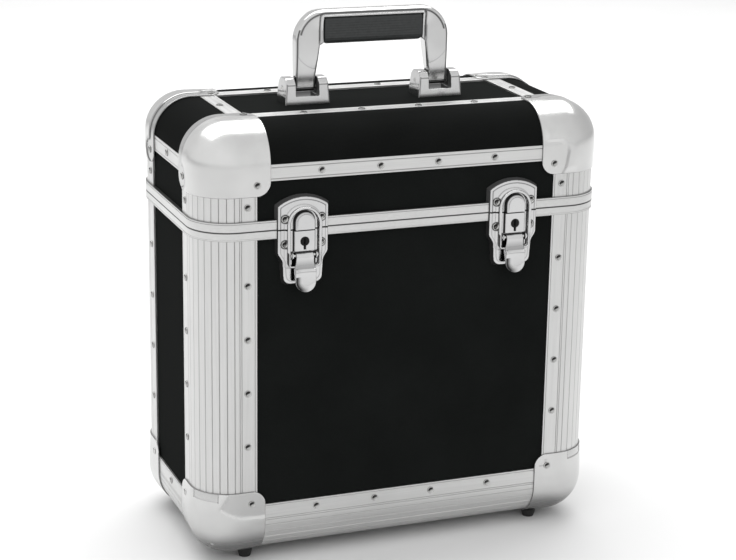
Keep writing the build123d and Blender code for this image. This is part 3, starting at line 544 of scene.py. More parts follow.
def cap_piece(name, ext, top, lift, dark, sx, sy, n=112, rc=12.0, extra=None):
    """ext = how far the cap reaches in from the side, front and top/bottom planes along x, y, z"""
    ex, ey, ez = ext
    core = np.array([W / 2 - R, D / 2 - R])
    zpl = Z_TOP if top else Z_BOT
    zs = 1.0 if top else -1.0

    def roll(face, a, b, t):
        # face 0: side plane (normal x), a = in from front (y), b = in from top/bottom (z)
        # face 1: top/bottom plane (normal z), a = in from side (x), b = in from front (y)
        # face 2: front plane (normal y), a = in from top/bottom (z), b = in from side (x)
        if face == 0:
            q = np.stack([np.zeros_like(a), a, b], -1)
        elif face == 1:
            q = np.stack([a, b, np.zeros_like(a)], -1)
        else:
            q = np.stack([b, np.zeros_like(a), a], -1)
        c = np.maximum(q, R)
        d = c - q
        ln = np.linalg.norm(d, axis=-1, keepdims=True)
        d = d / ln
        p = c - d * (R + t[..., None])
        return p, -d      # in "inward" coordinates; the outward normal points to -d there

    def turn(face, a, b):
        """angle round the upright corner from the front, and how far in from the cap's free edge"""
        q0, q1, q2 = (np.zeros_like(a), a, b) if face == 0 else (b, np.zeros_like(a), a)
        return np.degrees(np.arctan2(np.maximum(R - q0, 0), np.maximum(R - q1, 1e-6))), ez - q2

    # inward coordinates -> world
    def world(p, nrm):
        X = sx * (W / 2 - p[..., 0])
        Y = sy * (D / 2 - p[..., 1])
        Z = zpl - zs * p[..., 2]
        N = np.stack([-sx * nrm[..., 0], -sy * nrm[..., 1], -zs * nrm[..., 2]], -1)
        return np.stack([X, Y, Z], -1), N

    pairs = [(ey, ez), (ex, ey), (ez, ex)]
    # rings: fractions of the ray, packed near the edge of the ball and at the rim
    ds = [0.0, 0.25, 0.6, 1.0, 2.0, 3.0, 4.0, 5.0, 5.8, 6.4, 6.8, 7.2, 7.6, 8.0, 8.5, 9.0, 9.5, 10.0, 10.6, 11.4, 12.4, 13.4, 14.4, 15.4, 16.4,
          17.6, 19, 20.5, 22, 24, 27, 30, 33, 36, 39, 42, 45, 48, 51, 54]
    V, F, C = [], [], []
    index = {}

    def vid(p, c=0.0):
        key = (round(p[0], 4), round(p[1], 4), round(p[2], 4))
        if key not in index:
            index[key] = len(V)
            V.append(p)
            C.append(c)
        return index[key]

    rows_all = []
    for side in ("out", "in"):
        for face in range(3):
            A, B = pairs[face]
            O = outline_face(A, B, rc, n)
            rows = []
            levels = [d for d in ds if d < min(A, B) * 0.96] if side == "out" else [0.0, 0.6, 6.0, 16.0, 26.0, 36.0, 46.0]
            ref = min(A, B)
            for d in levels:
                k = 1 - d / ref
                a, b = O[:, 0] * k, O[:, 1] * k
                dist = edge_dist(a, b, A, B, rc)
                if side == "out":
                    t = lift(face, a, b, dist)
                    cv = dark(face, a, b, dist)
                    # painted shade: the base caps darken where they face down
                    if not top:
                        _, dn = roll(face, a, b, t)
                        cv = np.maximum(cv, 0.62 * sstep(0.16, 0.66, -dn[..., 2]))
                    if extra and face != 1:
                        t, cv = extra(face, a, b, dist, *turn(face, a, b), t, cv)
                else:
                    t = np.full_like(a, 0.08)
                    cv = np.zeros(len(a))
                p, _ = roll(face, a, b, t)
                rows.append((p, cv))
            pole, _ = roll(face, np.zeros(1), np.zeros(1), lift(face, np.zeros(1), np.zeros(1), np.full(1, 30.0)) if side == "out" else np.full(1, 0.08))
            rows_all.append((side, face, rows, pole[0]))
    for side, face, rows, pole in rows_all:
        ids = [[vid(p, c) for p, c in zip(*r)] for r in rows]
        pid = vid(pole)
        m = len(ids[0])
        for r in range(len(ids) - 1):
            for i in range(m - 1):
                q = [ids[r][i], ids[r][i + 1], ids[r + 1][i + 1], ids[r + 1][i]]
                F.append(q if side == "out" else q[::-1])
        for i in range(m - 1):
            q = [ids[-1][i], ids[-1][i + 1], pid]
            F.append(q if side == "out" else q[::-1])
        if side == "out":
            rim = ids[0]
            other = [x for x in rows_all if x[0] == "in" and x[1] == face][0]
            rin = [vid(p) for p in other[2][0][0]]
            for i in range(m - 1):
                F.append([rim[i + 1], rim[i], rin[i], rin[i + 1]])
    P = np.array(V)
    Wd, _ = world(P, P)
    if sx * sy * zs > 0:
        F = [f[::-1] for f in F]
    o = obj_from(name, Wd, F)
    o.data.update()
    import bmesh
    bm = bmesh.new()
    bm.from_mesh(o.data)
    bmesh.ops.recalc_face_normals(bm, faces=bm.faces)
    bm.to_mesh(o.data)
    bm.free()
    shade(o, C)
    return o


def edge_dist(a, b, A, B, rc):
    """distance in from the cap's outline, in the face's own flat layout"""
    da, db = A - a, B - b
    inner = np.minimum(da, db)
    cx, cy = A - rc, B - rc
    corner = rc - np.hypot(np.maximum(a - cx, 0), np.maximum(b - cy, 0))
    return np.where((a > cx) & (b > cy), corner, inner)


def convex(u, v, pts):
    """signed distance (inside negative) to a convex outline, points in clockwise or counter-clockwise order"""
    pts = np.array(pts, float)
    c = pts.mean(0)
    out = None
    for p, q in zip(pts, np.roll(pts, -1, 0)):
        e = (q - p) / np.linalg.norm(q - p)
        nrm = np.array([e[1], -e[0]])
        if nrm @ (c - p) > 0:
            nrm = -nrm
        d = (u - p[0]) * nrm[0] + (v - p[1]) * nrm[1]
        out = d if out is None else smax(out, d, 1.6)
    return out


def make_lift(rivets, rim, bulge, crown, soft_bulge, flange, ear, ey):
    """flat flange with the rivets, then a step up to the ball; on the front face the step is gentle"""
    def field(face, a, b):
        # the flange follows the cap's upright back edge and its arch over the top
        if face == 2 or flange == 0:
            return np.full_like(a, 60.0)
        d = (ey - a) if face == 0 else (ey - b)
        for (f, ra, rb_) in rivets:
            if f == face:
                d = smin(d, np.hypot(a - ra, b - rb_) - ear + flange, 2.5)
        return d

    def lift(face, a, b, dist):
        d = field(face, a, b)
        t = rim + (bulge - rim) * sstep(flange, flange + 1.4, d)
        # towards the other free edges and on the front face it swells gently
        gentle = rim + (soft_bulge - rim) * sstep(1.5, 16.0, dist)
        near = sstep(22.0, 10.0, d)
        t = gentle + (np.minimum(t, gentle + (bulge - soft_bulge)) - gentle) * near
        t = t + crown * sstep(8.0, 30.0, dist)
        if face == 2:
            for (f, ra, rb_) in rivets:
                if f == 2:
                    t = rim + (t - rim) * sstep(3.3, 12.0, np.hypot(a - ra, b - rb_))
        # the rim's own edge is rounded over
        e = np.clip(dist / 0.6, 0, 1)
        return np.where(dist < 0.6, 0.55 + (rim - 0.55) * np.sqrt(np.clip(1 - (1 - e) ** 2, 0, 1)), t)

    def dark(face, a, b, dist):
        # painted shade: a slightly darker flange, a dark line at the foot of the step up to the ball, a softer band
        # beyond it, and a dark line along the rim's very edge
        d = field(face, a, b)
        v = np.maximum(0.8 * np.clip(1.2 - np.abs(d - flange - 0.3) / 1.0, 0, 1), 0.24 * (d < flange)) if flange else 0.0 * d
        if flange:
            v = np.maximum(v, 0.42 * np.clip(1 - np.abs(d - flange - 2.2) / 1.8, 0, 1))
        return np.maximum(v, 0.6 * (dist < 0.3))
    return lift, dark


def shield(face, a, b, dist, phi, down, t, cv):
    """flat pressed round the front rivet, the ball stands proud round it"""
    if face != 2:
        return t, cv
    sd = convex(b, a, [(66, 28.2), (42, 28.2), (36.3, 36.0), (38.6, 51.0), (45.5, 62.0), (66, 62.0)])
    near = sstep(14.0, 5.0, sd)
    out = t + (2.35 - t) * near * sstep(2.0, 6.0, dist)
    t2 = 1.2 + (out - 1.2) * sstep(0.0, 1.9, sd)
    t2 = np.where(dist < 0.6, t, t2)
    # painted shade in a band just outside the facet's edge, on its lower part
    side = sstep(2.8, 1.2, sd) * sstep(-0.8, 0.4, sd) * sstep(29.0, 36.0, a)
    return t2, np.maximum(cv, 0.30 * side)


def tab(p0, p1, h, facet=None, fold=None):
    """a small pressed tongue under the cap's free edge, at the upright corner"""
    def f(face, a, b, dist, phi, down, t, cv):
        arc = (phi - p0) / (p1 - p0)
        w = (p1 - p0) * math.pi / 180 * (R + 1)
        du = np.abs(arc - 0.5) * w - w / 2
        sd = smax(du, down - h, 1.0)
        t = t - 0.75 * sstep(0.5, -0.4, sd) * sstep(0.3, 1.2, down)
        # painted shade: dark lines down the tongue's sides, a fainter one along its foot, and a light darkening over
        # the whole tongue
        edge = np.clip(1 - np.abs(du) / 0.75, 0, 1) * (down < h + 0.4) * (down > 0.5)
        foot = np.clip(1 - np.abs(down - h) / 0.6, 0, 1) * (du < 0.4)
        cv = np.maximum(cv, np.maximum(0.62 * edge, 0.22 * foot))
        cv = np.maximum(cv, 0.10 * (sd < 0))
        if facet is not None and face == 2:
            fd = convex(b, a, facet)
            keep = dist > 0.6
            t = np.where(keep, 1.2 + (np.maximum(t, 2.0) - 1.2) * sstep(0.0, 1.5, fd) * sstep(9.0, 3.0, fd) + (t - 1.2) * sstep(3.0, 9.0, fd), t)
            # painted reflection: the flat facet is tinted darker
            cv = np.maximum(cv, 0.17 * sstep(0.3, -0.5, fd) * sstep(0.5, 0.9, dist))
        if fold is not None and face == 2:
            fa, fb = fold
            # painted shade: two dark lines of a fold crease beside the rivet; the shape has no fold there
            l1 = np.clip(1 - np.abs(a - fa - 0.4) / 0.7, 0, 1) * (b > fb + 2.6) * (b < fb + 7.5)
            l2 = np.clip(1 - np.abs(b - fb - 1.9 + 0.1 * (a - fa)) / 0.7, 0, 1) * (a > fa + 1.5) * (a < fa + 6.5)
            cv = np.maximum(cv, 0.5 * np.maximum(l1, l2) * (dist > 0.6))
        return t, cv
    return f


LID_EXT = (60.0, 55.0, 56.5)
BASE_EXT = (55.5, 55.5, 61.5)
lid_lift, lid_dark = make_lift([(2, 47.0, 48.5), (0, 43.5, 45.5), (1, 52.2, 48.2)], 1.2, 2.2, 0.25, 1.5, 9.4, 8.4, LID_EXT[1])
base_lift, base_dark = make_lift([(2, 50.5, 43.5), (0, 44.0, 50.0)], 1.2, 2.0, 0.3, 1.8, 0, 6.6, BASE_EXT[1])
GREY_FACET = [(29, 66), (16.2, 47.4), (25.4, 42.9), (33.6, 39.6), (62, 39), (62, 66)]
EXTRA = {("lid", -1, 1): shield, ("base", -1, -1): tab(31.0, 74.0, 7.6, facet=GREY_FACET),
         ("base", -1, 1): tab(18.0, 58.0, 7.6, fold=(50.5, 43.5)), ("base", 1, -1): tab(24.0, 66.0, 7.6), ("base", 1, 1): tab(24.0, 66.0, 7.6)}
for sx, xn in ((-1, "left"), (1, "right")):
    for sy, yn in ((-1, "front"), (1, "back")):
        c = cap_piece(f"lid_cap_{yn}_{xn}", LID_EXT, True, lid_lift, lid_dark, sx, sy, extra=EXTRA.get(("lid", sy, sx)))
        c.data.materials.append(CAPM)
        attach(c, "lid")
        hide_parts(f"lid_corner_cap_{yn}_{xn}")
        c = cap_piece(f"base_cap_{yn}_{xn}", BASE_EXT, False, base_lift, base_dark, sx, sy, extra=EXTRA.get(("base", sy, sx)))
        c.data.materials.append(CAPM)
        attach(c, "base")
        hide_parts(f"base_corner_cap_{yn}_{xn}")
# ------------------------------------------------------------------ latches
def at_x(V, dx):
    return V + np.array([dx, 0, 0])


def blend_h(x, x0, x1, a, b):
    return a + (b - a) * sstep(x0, x1, x)


SUR_R, SUR_Z = 14.9, 299.0


def surround(x, z, riv):
    """height of the raised field round the dome and the housing"""
    up = np.hypot(x, np.maximum(z - SUR_Z, 0)) - SUR_R
    lo = smax(up, 263.5 - z, 4.0)
    r = 1.25 * sstep(0.0, 2.1, -(lo - 1.3))
    k = 1.0
    for (qx, qz) in riv:
        k = k * sstep(3.3, 4.3, np.hypot(x - qx, z - qz))
    return r * k


PLATE_RIV = [(15.7, 303.7), (15.7, 282.5)]


def plate_body(sd, d, x, z):
    e = -(sd + 0.404 * 5.2)
    h = 5.2 - 0.55 * (1 - np.clip(e / 2.5, 0, 1)) + surround(x, z, PLATE_RIV)
    side = (sd + 0.404 * d) * 0.927
    return smax(side, d - h, 0.8)


def keeper_f(x, y, z):
    x = np.abs(x)
    d = -y - 92.5
    arch = np.hypot(x, z - 285.2) - 37.8
    sd = smax(x - 23.25, arch, 0.8)
    f = plate_body(sd, d, x, z)
    dd = np.hypot(x, np.maximum(z - 301.3, 0)) - 9.2
    dome = smax(dd + 0.10 * (d - 6.0), d - 11.6, 2.6)
    f = smin(f, dome, 0.7)
    f = smax(f, 295.05 - z, 0.25)
    f = np.maximum(f, 0.03 - d)
    return np.maximum(f, -np.maximum(z - 303.08, d - 3.08))


def base_w(z):
    return 18.3 - 0.12 * np.clip(252.5 - z, 0, 8) + 0.9 * np.clip((z - 252.5) / 16.0, 0, 1) + 4.05 * sstep(267.0, 276.0, z)


def base_f(x, y, z):
    x = np.abs(x)
    d = -y - 92.5
    sd = smax(x - base_w(z), 246.9 - z, 6.0)
    f = plate_body(sd, d, x, z)
    win = smax(smax(x - 10.0, np.abs(z - 264.3) - 11.0, 1.5), 1.0 - d * 0 - 30, 0.1)
    f = smax(f, -win, 0.6)
    ho = smax(smax(x - 9.2 + 0.04 * (d - 6), d - 9.5, 1.5), 276.9 - z, 0.7)
    f = smin(f, ho, 0.6)
    ring_ = np.abs(np.hypot(x, z - 285.2) - 4.3) - 0.2
    bore = np.maximum(np.hypot(x, z - 285.2) - 3.75, 5.4 - d)
    slot_ = np.maximum(np.maximum(x - 0.95, np.abs(z - 281.0) - 2.5), 7.4 - d)
    f = smax(f, -np.minimum(bore, slot_), 0.35)
    ear2 = np.minimum(np.hypot(y + 100.4, z - 273.2) - 2.9, np.maximum(np.abs(z - 273.0) - 2.9, -y - 100.4))
    ear = smax(ear2, np.abs(x - 10.2) - 0.72, 0.5)
    ear = np.maximum(ear, 4.6 - d)
    f = smin(f, ear, 0.4)
    f = smax(f, z - 294.15, 0.25)
    f = np.maximum(f, 0.03 - d)
    return np.maximum(f, -np.maximum(287.42 - z, d - 3.08))


def curve_pts(pts, n=8):
    """smooth line through the points"""
    p = np.asarray(pts, float)
    out = []
    for i in range(len(p) - 1):
        p0, p1, p2, p3 = p[max(i - 1, 0)], p[i], p[i + 1], p[min(i + 2, len(p) - 1)]
        for k in range(n):
            t = k / n
            out.append(0.5 * ((2 * p1) + (p2 - p0) * t + (2 * p0 - 5 * p1 + 4 * p2 - p3) * t * t
                              + (3 * p1 - p0 - 3 * p2 + p3) * t ** 3))
    out.append(p[-1])
    return np.array(out)


LEV_FRONT = curve_pts([(-101.6, 275.3), (-102.9, 274.2), (-103.5, 272.3), (-103.4, 269.5), (-103.1, 266.5), (-103.3, 264.4),
                       (-104.2, 263.0), (-105.5, 262.0), (-106.1, 260.9), (-105.9, 259.6), (-105.6, 257.4), (-105.5, 253.0),
                       (-105.9, 248.5), (-107.0, 243.4)], 6)
LEV_BACK = curve_pts([(-105.4, 242.8), (-103.9, 248.0), (-102.4, 255.0), (-100.6, 259.6), (-99.4, 263.6), (-98.9, 269.0),
                      (-98.6, 272.3)], 6)
LEV_SIDE = np.concatenate([LEV_FRONT, LEV_BACK])
LZ = np.array([240.0, 252.3, 256.0, 259.5, 262.0, 264.5, 267.5, 271.0, 278.0])
LW = np.array([8.95, 8.95, 9.15, 9.3, 9.1, 8.5, 7.8, 7.6, 7.6])


def lever_f(x, y, z):
    x = np.abs(x)
    r = np.hypot(x, np.minimum(z - 251.9, 0) + 0.35 * np.maximum(z - 251.9, 0))
    dish = 1.05 * (1 - np.clip(r / 8.2, 0, 1) ** 3.6)
    y2 = y - dish * sstep(-104.0, -105.2, y) * 1.0
    side = smin(sd_poly(y2 + 0 * x, z + 0 * x, LEV_SIDE), np.hypot(y + 100.4, z - 273.2) - 2.3 + 0 * x, 0.5)
    w = x - np.interp(z, LZ, LW)
    low = np.hypot(x, np.minimum(z - 252.3, 0)) - 8.95
    front = smax(w, low, 0.3)
    f = smax(side, front, 0.9)
    return smax(f, -(np.hypot(y + 100.4, z - 273.2) - 1.3 + 0 * x), 0.1)


def tube(pts, rx, ry, nrm, n=20):
    """wire through pts in a plane with normal nrm; rx in the plane, ry across it, per point"""
    p = np.asarray(pts, float)
    t = np.gradient(p, axis=0)
    t /= np.linalg.norm(t, axis=1)[:, None]
    b = np.array(nrm, float)
    s = np.cross(t, b)
    V, F = [], []
    for i in range(len(p)):
        for k in range(n):
            a = 2 * math.pi * k / n
            V.append(p[i] + s[i] * rx[i] * math.cos(a) + b * ry[i] * math.sin(a))
    for i in range(len(p) - 1):
        for k in range(n):
            k2 = (k + 1) % n
            F.append((i * n + k, i * n + k2, (i + 1) * n + k2, (i + 1) * n + k))
    NN = [s[i] * math.cos(2 * math.pi * k / n) + b * math.sin(2 * math.pi * k / n) for i in range(len(p)) for k in range(n)]
    NN += [-t[0], t[-1]]
    V.append(p[0])
    V.append(p[-1])
    c0, c1 = len(V) - 2, len(V) - 1
    m = (len(p) - 1) * n
    for k in range(n):
        k2 = (k + 1) % n
        F.append((k2, k, c0, c0))
        F.append((m + k, m + k2, c1, c1))
    return np.array(V), F, np.array(NN)


def bail_path(ds=0.5):
    h, rb_, zb, za, y = 13.4, 2.8, BAIL_Z, 299.4, -101.6
    pts = []
    xs = np.arange(5.2, h - rb_, ds)
    for x in xs:
        pts.append((x, zb))
    for a in np.linspace(0, math.pi / 2, 10):
        pts.append((h - rb_ + rb_ * math.sin(a), zb + rb_ - rb_ * math.cos(a)))
    for z in np.arange(zb + rb_ + ds, za, ds):
        pts.append((h, z))
    for a in np.linspace(0, math.pi / 2, 40):
        pts.append((h * math.cos(a), za + h * math.sin(a)))
    half = np.array(pts)
    left = half[::-1][1:] * np.array([-1, 1])
    full = np.concatenate([half, left])
    z = full[:, 1]
    w = sstep(275.5, 277.2, z)
    rx = 0.9 + 0.4 * w
    off = 0.35 * (1 - w) * np.sign(full[:, 0]) * (z > zb + rb_ * 0.6)
    P = np.stack([full[:, 0] - off, np.full(len(z), y), z], 1)
    return P, rx, np.full(len(z), 1.3)


kV, kQ, kN = iso(keeper_f, (-24.5, -105.6, 293.6), (24.5, -91.6, 324.6), 0.46)
bV, bQ, bN = iso(base_f, (-24.5, -104.0, 245.6), (24.5, -91.6, 295.8), 0.46)
lV, lQ, lN = iso(lever_f, (-10.6, -108.4, 241.9), (10.6, -97.2, 276.9), 0.36)
P, rx, ry = bail_path()
tV, tF, tN = tube(P, rx, ry, (0, 1, 0))


def stadium_f(x, y, z):
    """the bail wire at rest"""
    q = np.where(z > 299.4, np.abs(np.hypot(x, z - 299.4) - 13.4), np.abs(np.abs(x) - 13.4))
    q = np.where(z < BAIL_Z + 1.4, np.hypot(q, BAIL_Z + 1.4 - z), q)
    return np.hypot(q, y + 101.6) - 1.3


def riv_f(x, y, z):
    d = np.minimum(*[np.hypot(np.abs(x) - qx, z - qz) for qx, qz in PLATE_RIV])
    return np.maximum(d - 3.0, -y - 98.7)


def all_f(x, y, z):
    r = np.minimum(keeper_f(x, y, z), base_f(x, y, z))
    r = np.minimum(r, np.minimum(lever_f(x, y, z), stadium_f(x, y, z)))
    return np.minimum(r, riv_f(x, y, z))


def latch_shade(f, P, N, others=0.8):
    a = cavity(f, P, N, lo=0.1, hi=0.55, top=0.95)
    b = cavity(all_f, P, N, lo=0.1, hi=0.55, top=0.95)
    v = np.maximum(a, others * b)
    # painted shadow: the facing edges of the two plates at the seam are darkened
    seam = np.abs(P[:, 2] - 294.6)
    return np.maximum(v, 0.92 * (np.abs(N[:, 2]) > 0.5) * (seam < 1.0))


def latch_obj(name, V, Q, N, body, node, m):
    o = obj_from(name, V, Q, N)
    o.data.materials.append(m)
    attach(o, body)
    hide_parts(node)
    return o


def ring_line(v, c, w):
    return np.clip(1 - np.abs(v - c) / w, 0, 1)


def plate_lines(P, sd, k, wall):
    """shadow lines along the pressed edge: the wall, the fold inside it, the foot of the raised field, the rivet pockets"""
    x, z, d = np.abs(P[:, 0]), P[:, 2], -P[:, 1] - 92.5
    e = -(sd + 0.404 * 5.2)
    v = wall * (e < -0.1) * (d < 4.6)
    v = np.maximum(v, k * ring_line(e, 1.9, 0.55) * (d > 4))
    up = np.hypot(x, np.maximum(z - SUR_Z, 0)) - SUR_R
    lo = smax(up, 263.5 - z, 4.0)
    v = np.maximum(v, 0.34 * ring_line(lo - 1.3, 0.0, 0.55) * (d > 4) * (d < 6.3))
    for qx, qz in PLATE_RIV:
        v = np.maximum(v, 0.93 * ring_line(np.hypot(x - qx, z - qz), 3.45, 0.8) * (d > 4))
    return v


def arch_sd(P):
    return smax(np.abs(P[:, 0]) - 23.25, np.hypot(P[:, 0], P[:, 2] - 285.2) - 37.8, 0.8)


kC, bC = latch_shade(keeper_f, kV, kN), latch_shade(base_f, bV, bN)
def walls(P, N, k):
    """the steep sides of the dome and the housing lie in the wire's shade"""
    d = -P[:, 1] - 92.5
    return k * (np.abs(P[:, 0]) < 9.9) * sstep(5.5, 6.6, d) * sstep(0.75, 0.5, np.abs(N[:, 1]))


kC = np.maximum(kC, walls(kV, kN, 0.95))
bC = np.maximum(bC, walls(bV, bN, 0.95))
kC = np.maximum(kC, plate_lines(kV, arch_sd(kV), 0.9, 0.84))
bC = np.maximum(bC, plate_lines(bV, smax(np.abs(bV[:, 0]) - base_w(bV[:, 2]), 246.9 - bV[:, 2], 6.0), 0.45, 0.92))
# painted shade: a dark line just inside the dome's rounded edge, on its upper left part only
dd_ = np.hypot(kV[:, 0], np.maximum(kV[:, 2] - 301.3, 0)) - 9.2
kC = np.maximum(kC, 0.62 * ring_line(dd_, -2.3, 0.45) * (kV[:, 1] < -102.5) * sstep(-0.1, 0.3, 0.5 * (kV[:, 2] - 301.3) / 9.2 - 0.4 * kV[:, 0] / 9.2))
# painted shade: the lock's bore and key slot are dark inside
inner = np.hypot(bV[:, 0], bV[:, 2] - 285.2) < 3.9
slot_v = (np.abs(bV[:, 0]) < 1.0) & (np.abs(bV[:, 2] - 281.0) < 2.6)
bC = np.where((inner | slot_v) & (bV[:, 1] > -101.75), 0.98, bC)
# painted shade on the lever and on the wire where the plates, dome and lever close in on them
lC, tC = latch_shade(lever_f, lV, lN, 0.7), 0.95 * cavity(all_f, tV, tN, lo=0.08, hi=0.5)
# painted reflection and shade on the lever's front: darker towards the foot of its hollow upper part, a dark line just
# under the crease, and a dark crescent round the lower left of the dished tab
front = lV[:, 1] < -102.0
hollow = sstep(272.5, 264.6, lV[:, 2]) * (lV[:, 2] > 262.4) * 0.34
under = 0.4 * ring_line(lV[:, 2], 260.0, 0.7)
rr_ = np.hypot(lV[:, 0], np.minimum(lV[:, 2] - 251.9, 0))
crescent = 0.9 * sstep(3.0, 7.6, rr_) * sstep(3.5, -5.0, lV[:, 0]) * (lV[:, 2] < 256) * sstep(8.75, 8.35, rr_)
lC = np.maximum(lC, front * np.maximum(np.maximum(hollow, under), crescent))

for s, nm in ((-1, "left"), (1, "right")):
    dx = s * LATCH_X
    shade(latch_obj("keeper_plate_" + nm, at_x(kV, dx), kQ, kN, "lid", "latch_keeper_" + nm, CHROME), kC)
    shade(latch_obj("latch_plate_" + nm, at_x(bV, dx), bQ, bN, "base", "latch_base_plate_" + nm, CHROME), bC)
    shade(latch_obj("latch_tab_" + nm, at_x(lV, dx), lQ, lN, "lever_" + nm, "latch_lever_" + nm, CHROME), lC)
    shade(latch_obj("latch_wire_" + nm, at_x(tV, dx), tF, None, "bail_" + nm, "latch_bail_" + nm, CHROME), tC)
# ------------------------------------------------------------------ handle brackets
def br_hx(z):
    return 18.3 + 0.08 * (400.0 - z)


def bracket_f(x, y, z):
    x, y = np.abs(x), np.abs(y)
    hx = br_hx(z)
    hy = 12.3 - 0.085 * (z - 378.0)
    f = smax(x - hx, (y - hy) * 0.996, 1.2)
    cham = (y - 10.6) * 0.70 + (z - 395.6) * 0.714
    top = smax(z - 400.1 + 0.010 * y * y, cham, 0.9)
    f = smax(f, top, 0.9)
    slot_ = smax(x - 10.25, 384.6 + 0.35 * sstep(2.0, 11.0, y) - z, 0.8)
    f = smax(f, -slot_, 0.7)
    # the pin's bore through the ears
    bore = np.hypot(y, z - HP_Z) - 2.02
    f = np.maximum(f, -bore)
    line = np.maximum(np.abs(z - 385.2) - 0.22, hx - 0.3 - x)
    f = smax(f, -line, 0.15)
    return np.maximum(f, 378.02 - z)


# ------------------------------------------------------------------ handle frame
def handle_2d(x, z):
    # outside: straight legs and a rounded top
    qx, qz = x - (68.9 - 27.0), z - (457.0 - 27.0)
    out = np.hypot(np.maximum(qx, 0), np.maximum(qz, 0)) + np.minimum(np.maximum(qx, qz), 0) - 27.0
    # inside opening, wider towards the bottom
    wi = np.interp(z, [380, 400, 426.5, 428.6, 460], [50.9, 50.9, 47.4, 44.3, 44.3])
    ins = smax(x - wi, z - 449.5, 0.8)
    return out, ins


def handle_f(x, y, z):
    x, y = np.abs(x), np.abs(y)
    out, ins = handle_2d(x, z)
    r = np.hypot(x - 45.5, z - 431.0)
    ty = 5.9 + 0.75 * np.clip(1 - (r / 25.5) ** 2, 0, 1)
    ty = np.where(z < 420, 4.3 + (ty - 4.3) * sstep(385.0, 420.0, z), ty)
    bar = 8.0 + 0 * r
    ty = ty + (np.maximum(bar, ty) - ty) * sstep(440.0, 452.0, z) * sstep(60.0, 44.0, x)
    # bead round the grip and the groove outside it
    g = np.maximum(x - 44.3, np.maximum(z - 449.5, 428.4 - z))
    gd = np.hypot(np.maximum(x - 44.3, 0), np.maximum(z - 449.5, 0))
    zone = sstep(425.5, 429.5, z)
    groove = np.exp(-((gd - 3.6) / 0.85) ** 2) * 0.85 * zone
    bead = (0.75 * sstep(2.9, 1.6, gd)) * zone
    ty = ty + bead - groove
    f = smax(smax(out, -ins, 1.3), (y - ty) * 0.97, 2.4)
    # rounded top of the bar
    top = z - 457.0 + 0.055 * y * y * sstep(430.0, 450.0, z)
    f = smax(f, top, 2.2)
    # spine inside the grip
    f = smin(f, np.maximum(np.maximum(x - 45.0, y - 3.45), np.maximum(436.1 - z, z - 450.5)), 0.3)
    # rounded foot and pin bore
    foot = np.hypot(y, np.minimum(z - 391.6, 0)) - 4.3
    f = np.where(z < 392.5, smax(f, foot, 0.8), f)
    return np.maximum(f, -(np.hypot(y, z - HP_Z) - 2.08))


def grip_f(x, y, z):
    x, y = np.abs(x), np.abs(y)
    prof = sd_rect(y, z, -7.95, 427.2, 7.95, 470.0, 6.6)
    prof = smax(prof, z - 449.35, 0.6)
    rib = 0.06 * np.cos(2 * math.pi * (z - 427.2) / 2.15) * sstep(5.0, 7.4, y)
    f = smax(prof + rib, x - 44.05, 1.2)
    # lower outer corners are rounded off
    c = np.hypot(np.maximum(x - 40.4, 0), np.maximum(430.8 - z, 0)) - 3.6
    f = smax(f, np.where((x > 40.4) & (z < 430.8), c, -5.0), 0.4)
    hole = np.maximum(y - 3.55, 435.9 - z)
    return np.maximum(f, -hole)


def leg_f(x, y, z):
    return np.maximum(np.maximum(np.abs(x) - 9.6, np.abs(y) - 4.6), 386.6 - z)


def bracket_all(x, y, z):
    return np.minimum(np.minimum(bracket_f(x, y, z), leg_f(x, y, z)), z - 377.95)


brV, brQ, brN = iso(bracket_f, (-21.5, -13.6, 376.9), (21.5, 13.6, 401.6), 0.5)
brC = cavity(bracket_all, brV, brN)


def bracket_lines(P, N):
    """the shade that gathers along the casting's edges, under the ears' bevels and in the slot"""
    x, y, z = np.abs(P[:, 0]), np.abs(P[:, 1]), P[:, 2]
    hx, hy = br_hx(z), 12.3 - 0.085 * (z - 378.0)
    nx, ny, nz = np.abs(N[:, 0]), np.abs(N[:, 1]), N[:, 2]
    v = 0.85 * np.clip(1 - np.abs(x - (hx - 0.85)) / 0.75, 0, 1) * (y > hy - 0.9) * (z < 395.4)
    v = np.maximum(v, 0.8 * np.clip(1 - np.abs(z - 394.4) / 0.75, 0, 1) * (ny > 0.75) * (y > 8))
    v = np.maximum(v, 0.95 * (nz > 0.7) * (x < 10.6) * (z < 386.2) * (y < hy - 1.5))
    v = np.maximum(v, 0.8 * (nx > 0.7) * (x < 11.2) * (z > 385) * (z < 397))
    v = np.maximum(v, 0.6 * np.clip(1 - np.abs(z - 385.2) / 0.35, 0, 1) * (nx > 0.4) * (x > 15))
    v = np.maximum(v, 0.55 * np.clip(1 - np.abs(z - 378.3) / 0.5, 0, 1))
    return v


brC = np.maximum(brC, bracket_lines(brV, brN))
for s, nm in ((-1, "left"), (1, "right")):
    o = obj_from("handle_mount_" + nm, at_x(brV, s * HB_X), brQ, brN)
    o.data.materials.append(HCHROME)
    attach(o, "lid")
    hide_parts("handle_bracket_" + nm)
    shade(o, brC)
hV, hQ, hN = iso(handle_f, (-71.0, -10.9, 384.9), (71.0, 10.9, 458.9), 0.62)
o = obj_from("handle_casting", hV, hQ, hN)
o.data.materials.append(HCHROME)
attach(o, "handle")
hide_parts("handle_frame")


def grip_box(x, y, z):
    return sd_rect(np.abs(x), z, -50.0, 427.2, 44.1, 449.4, 2.0) + 0 * y


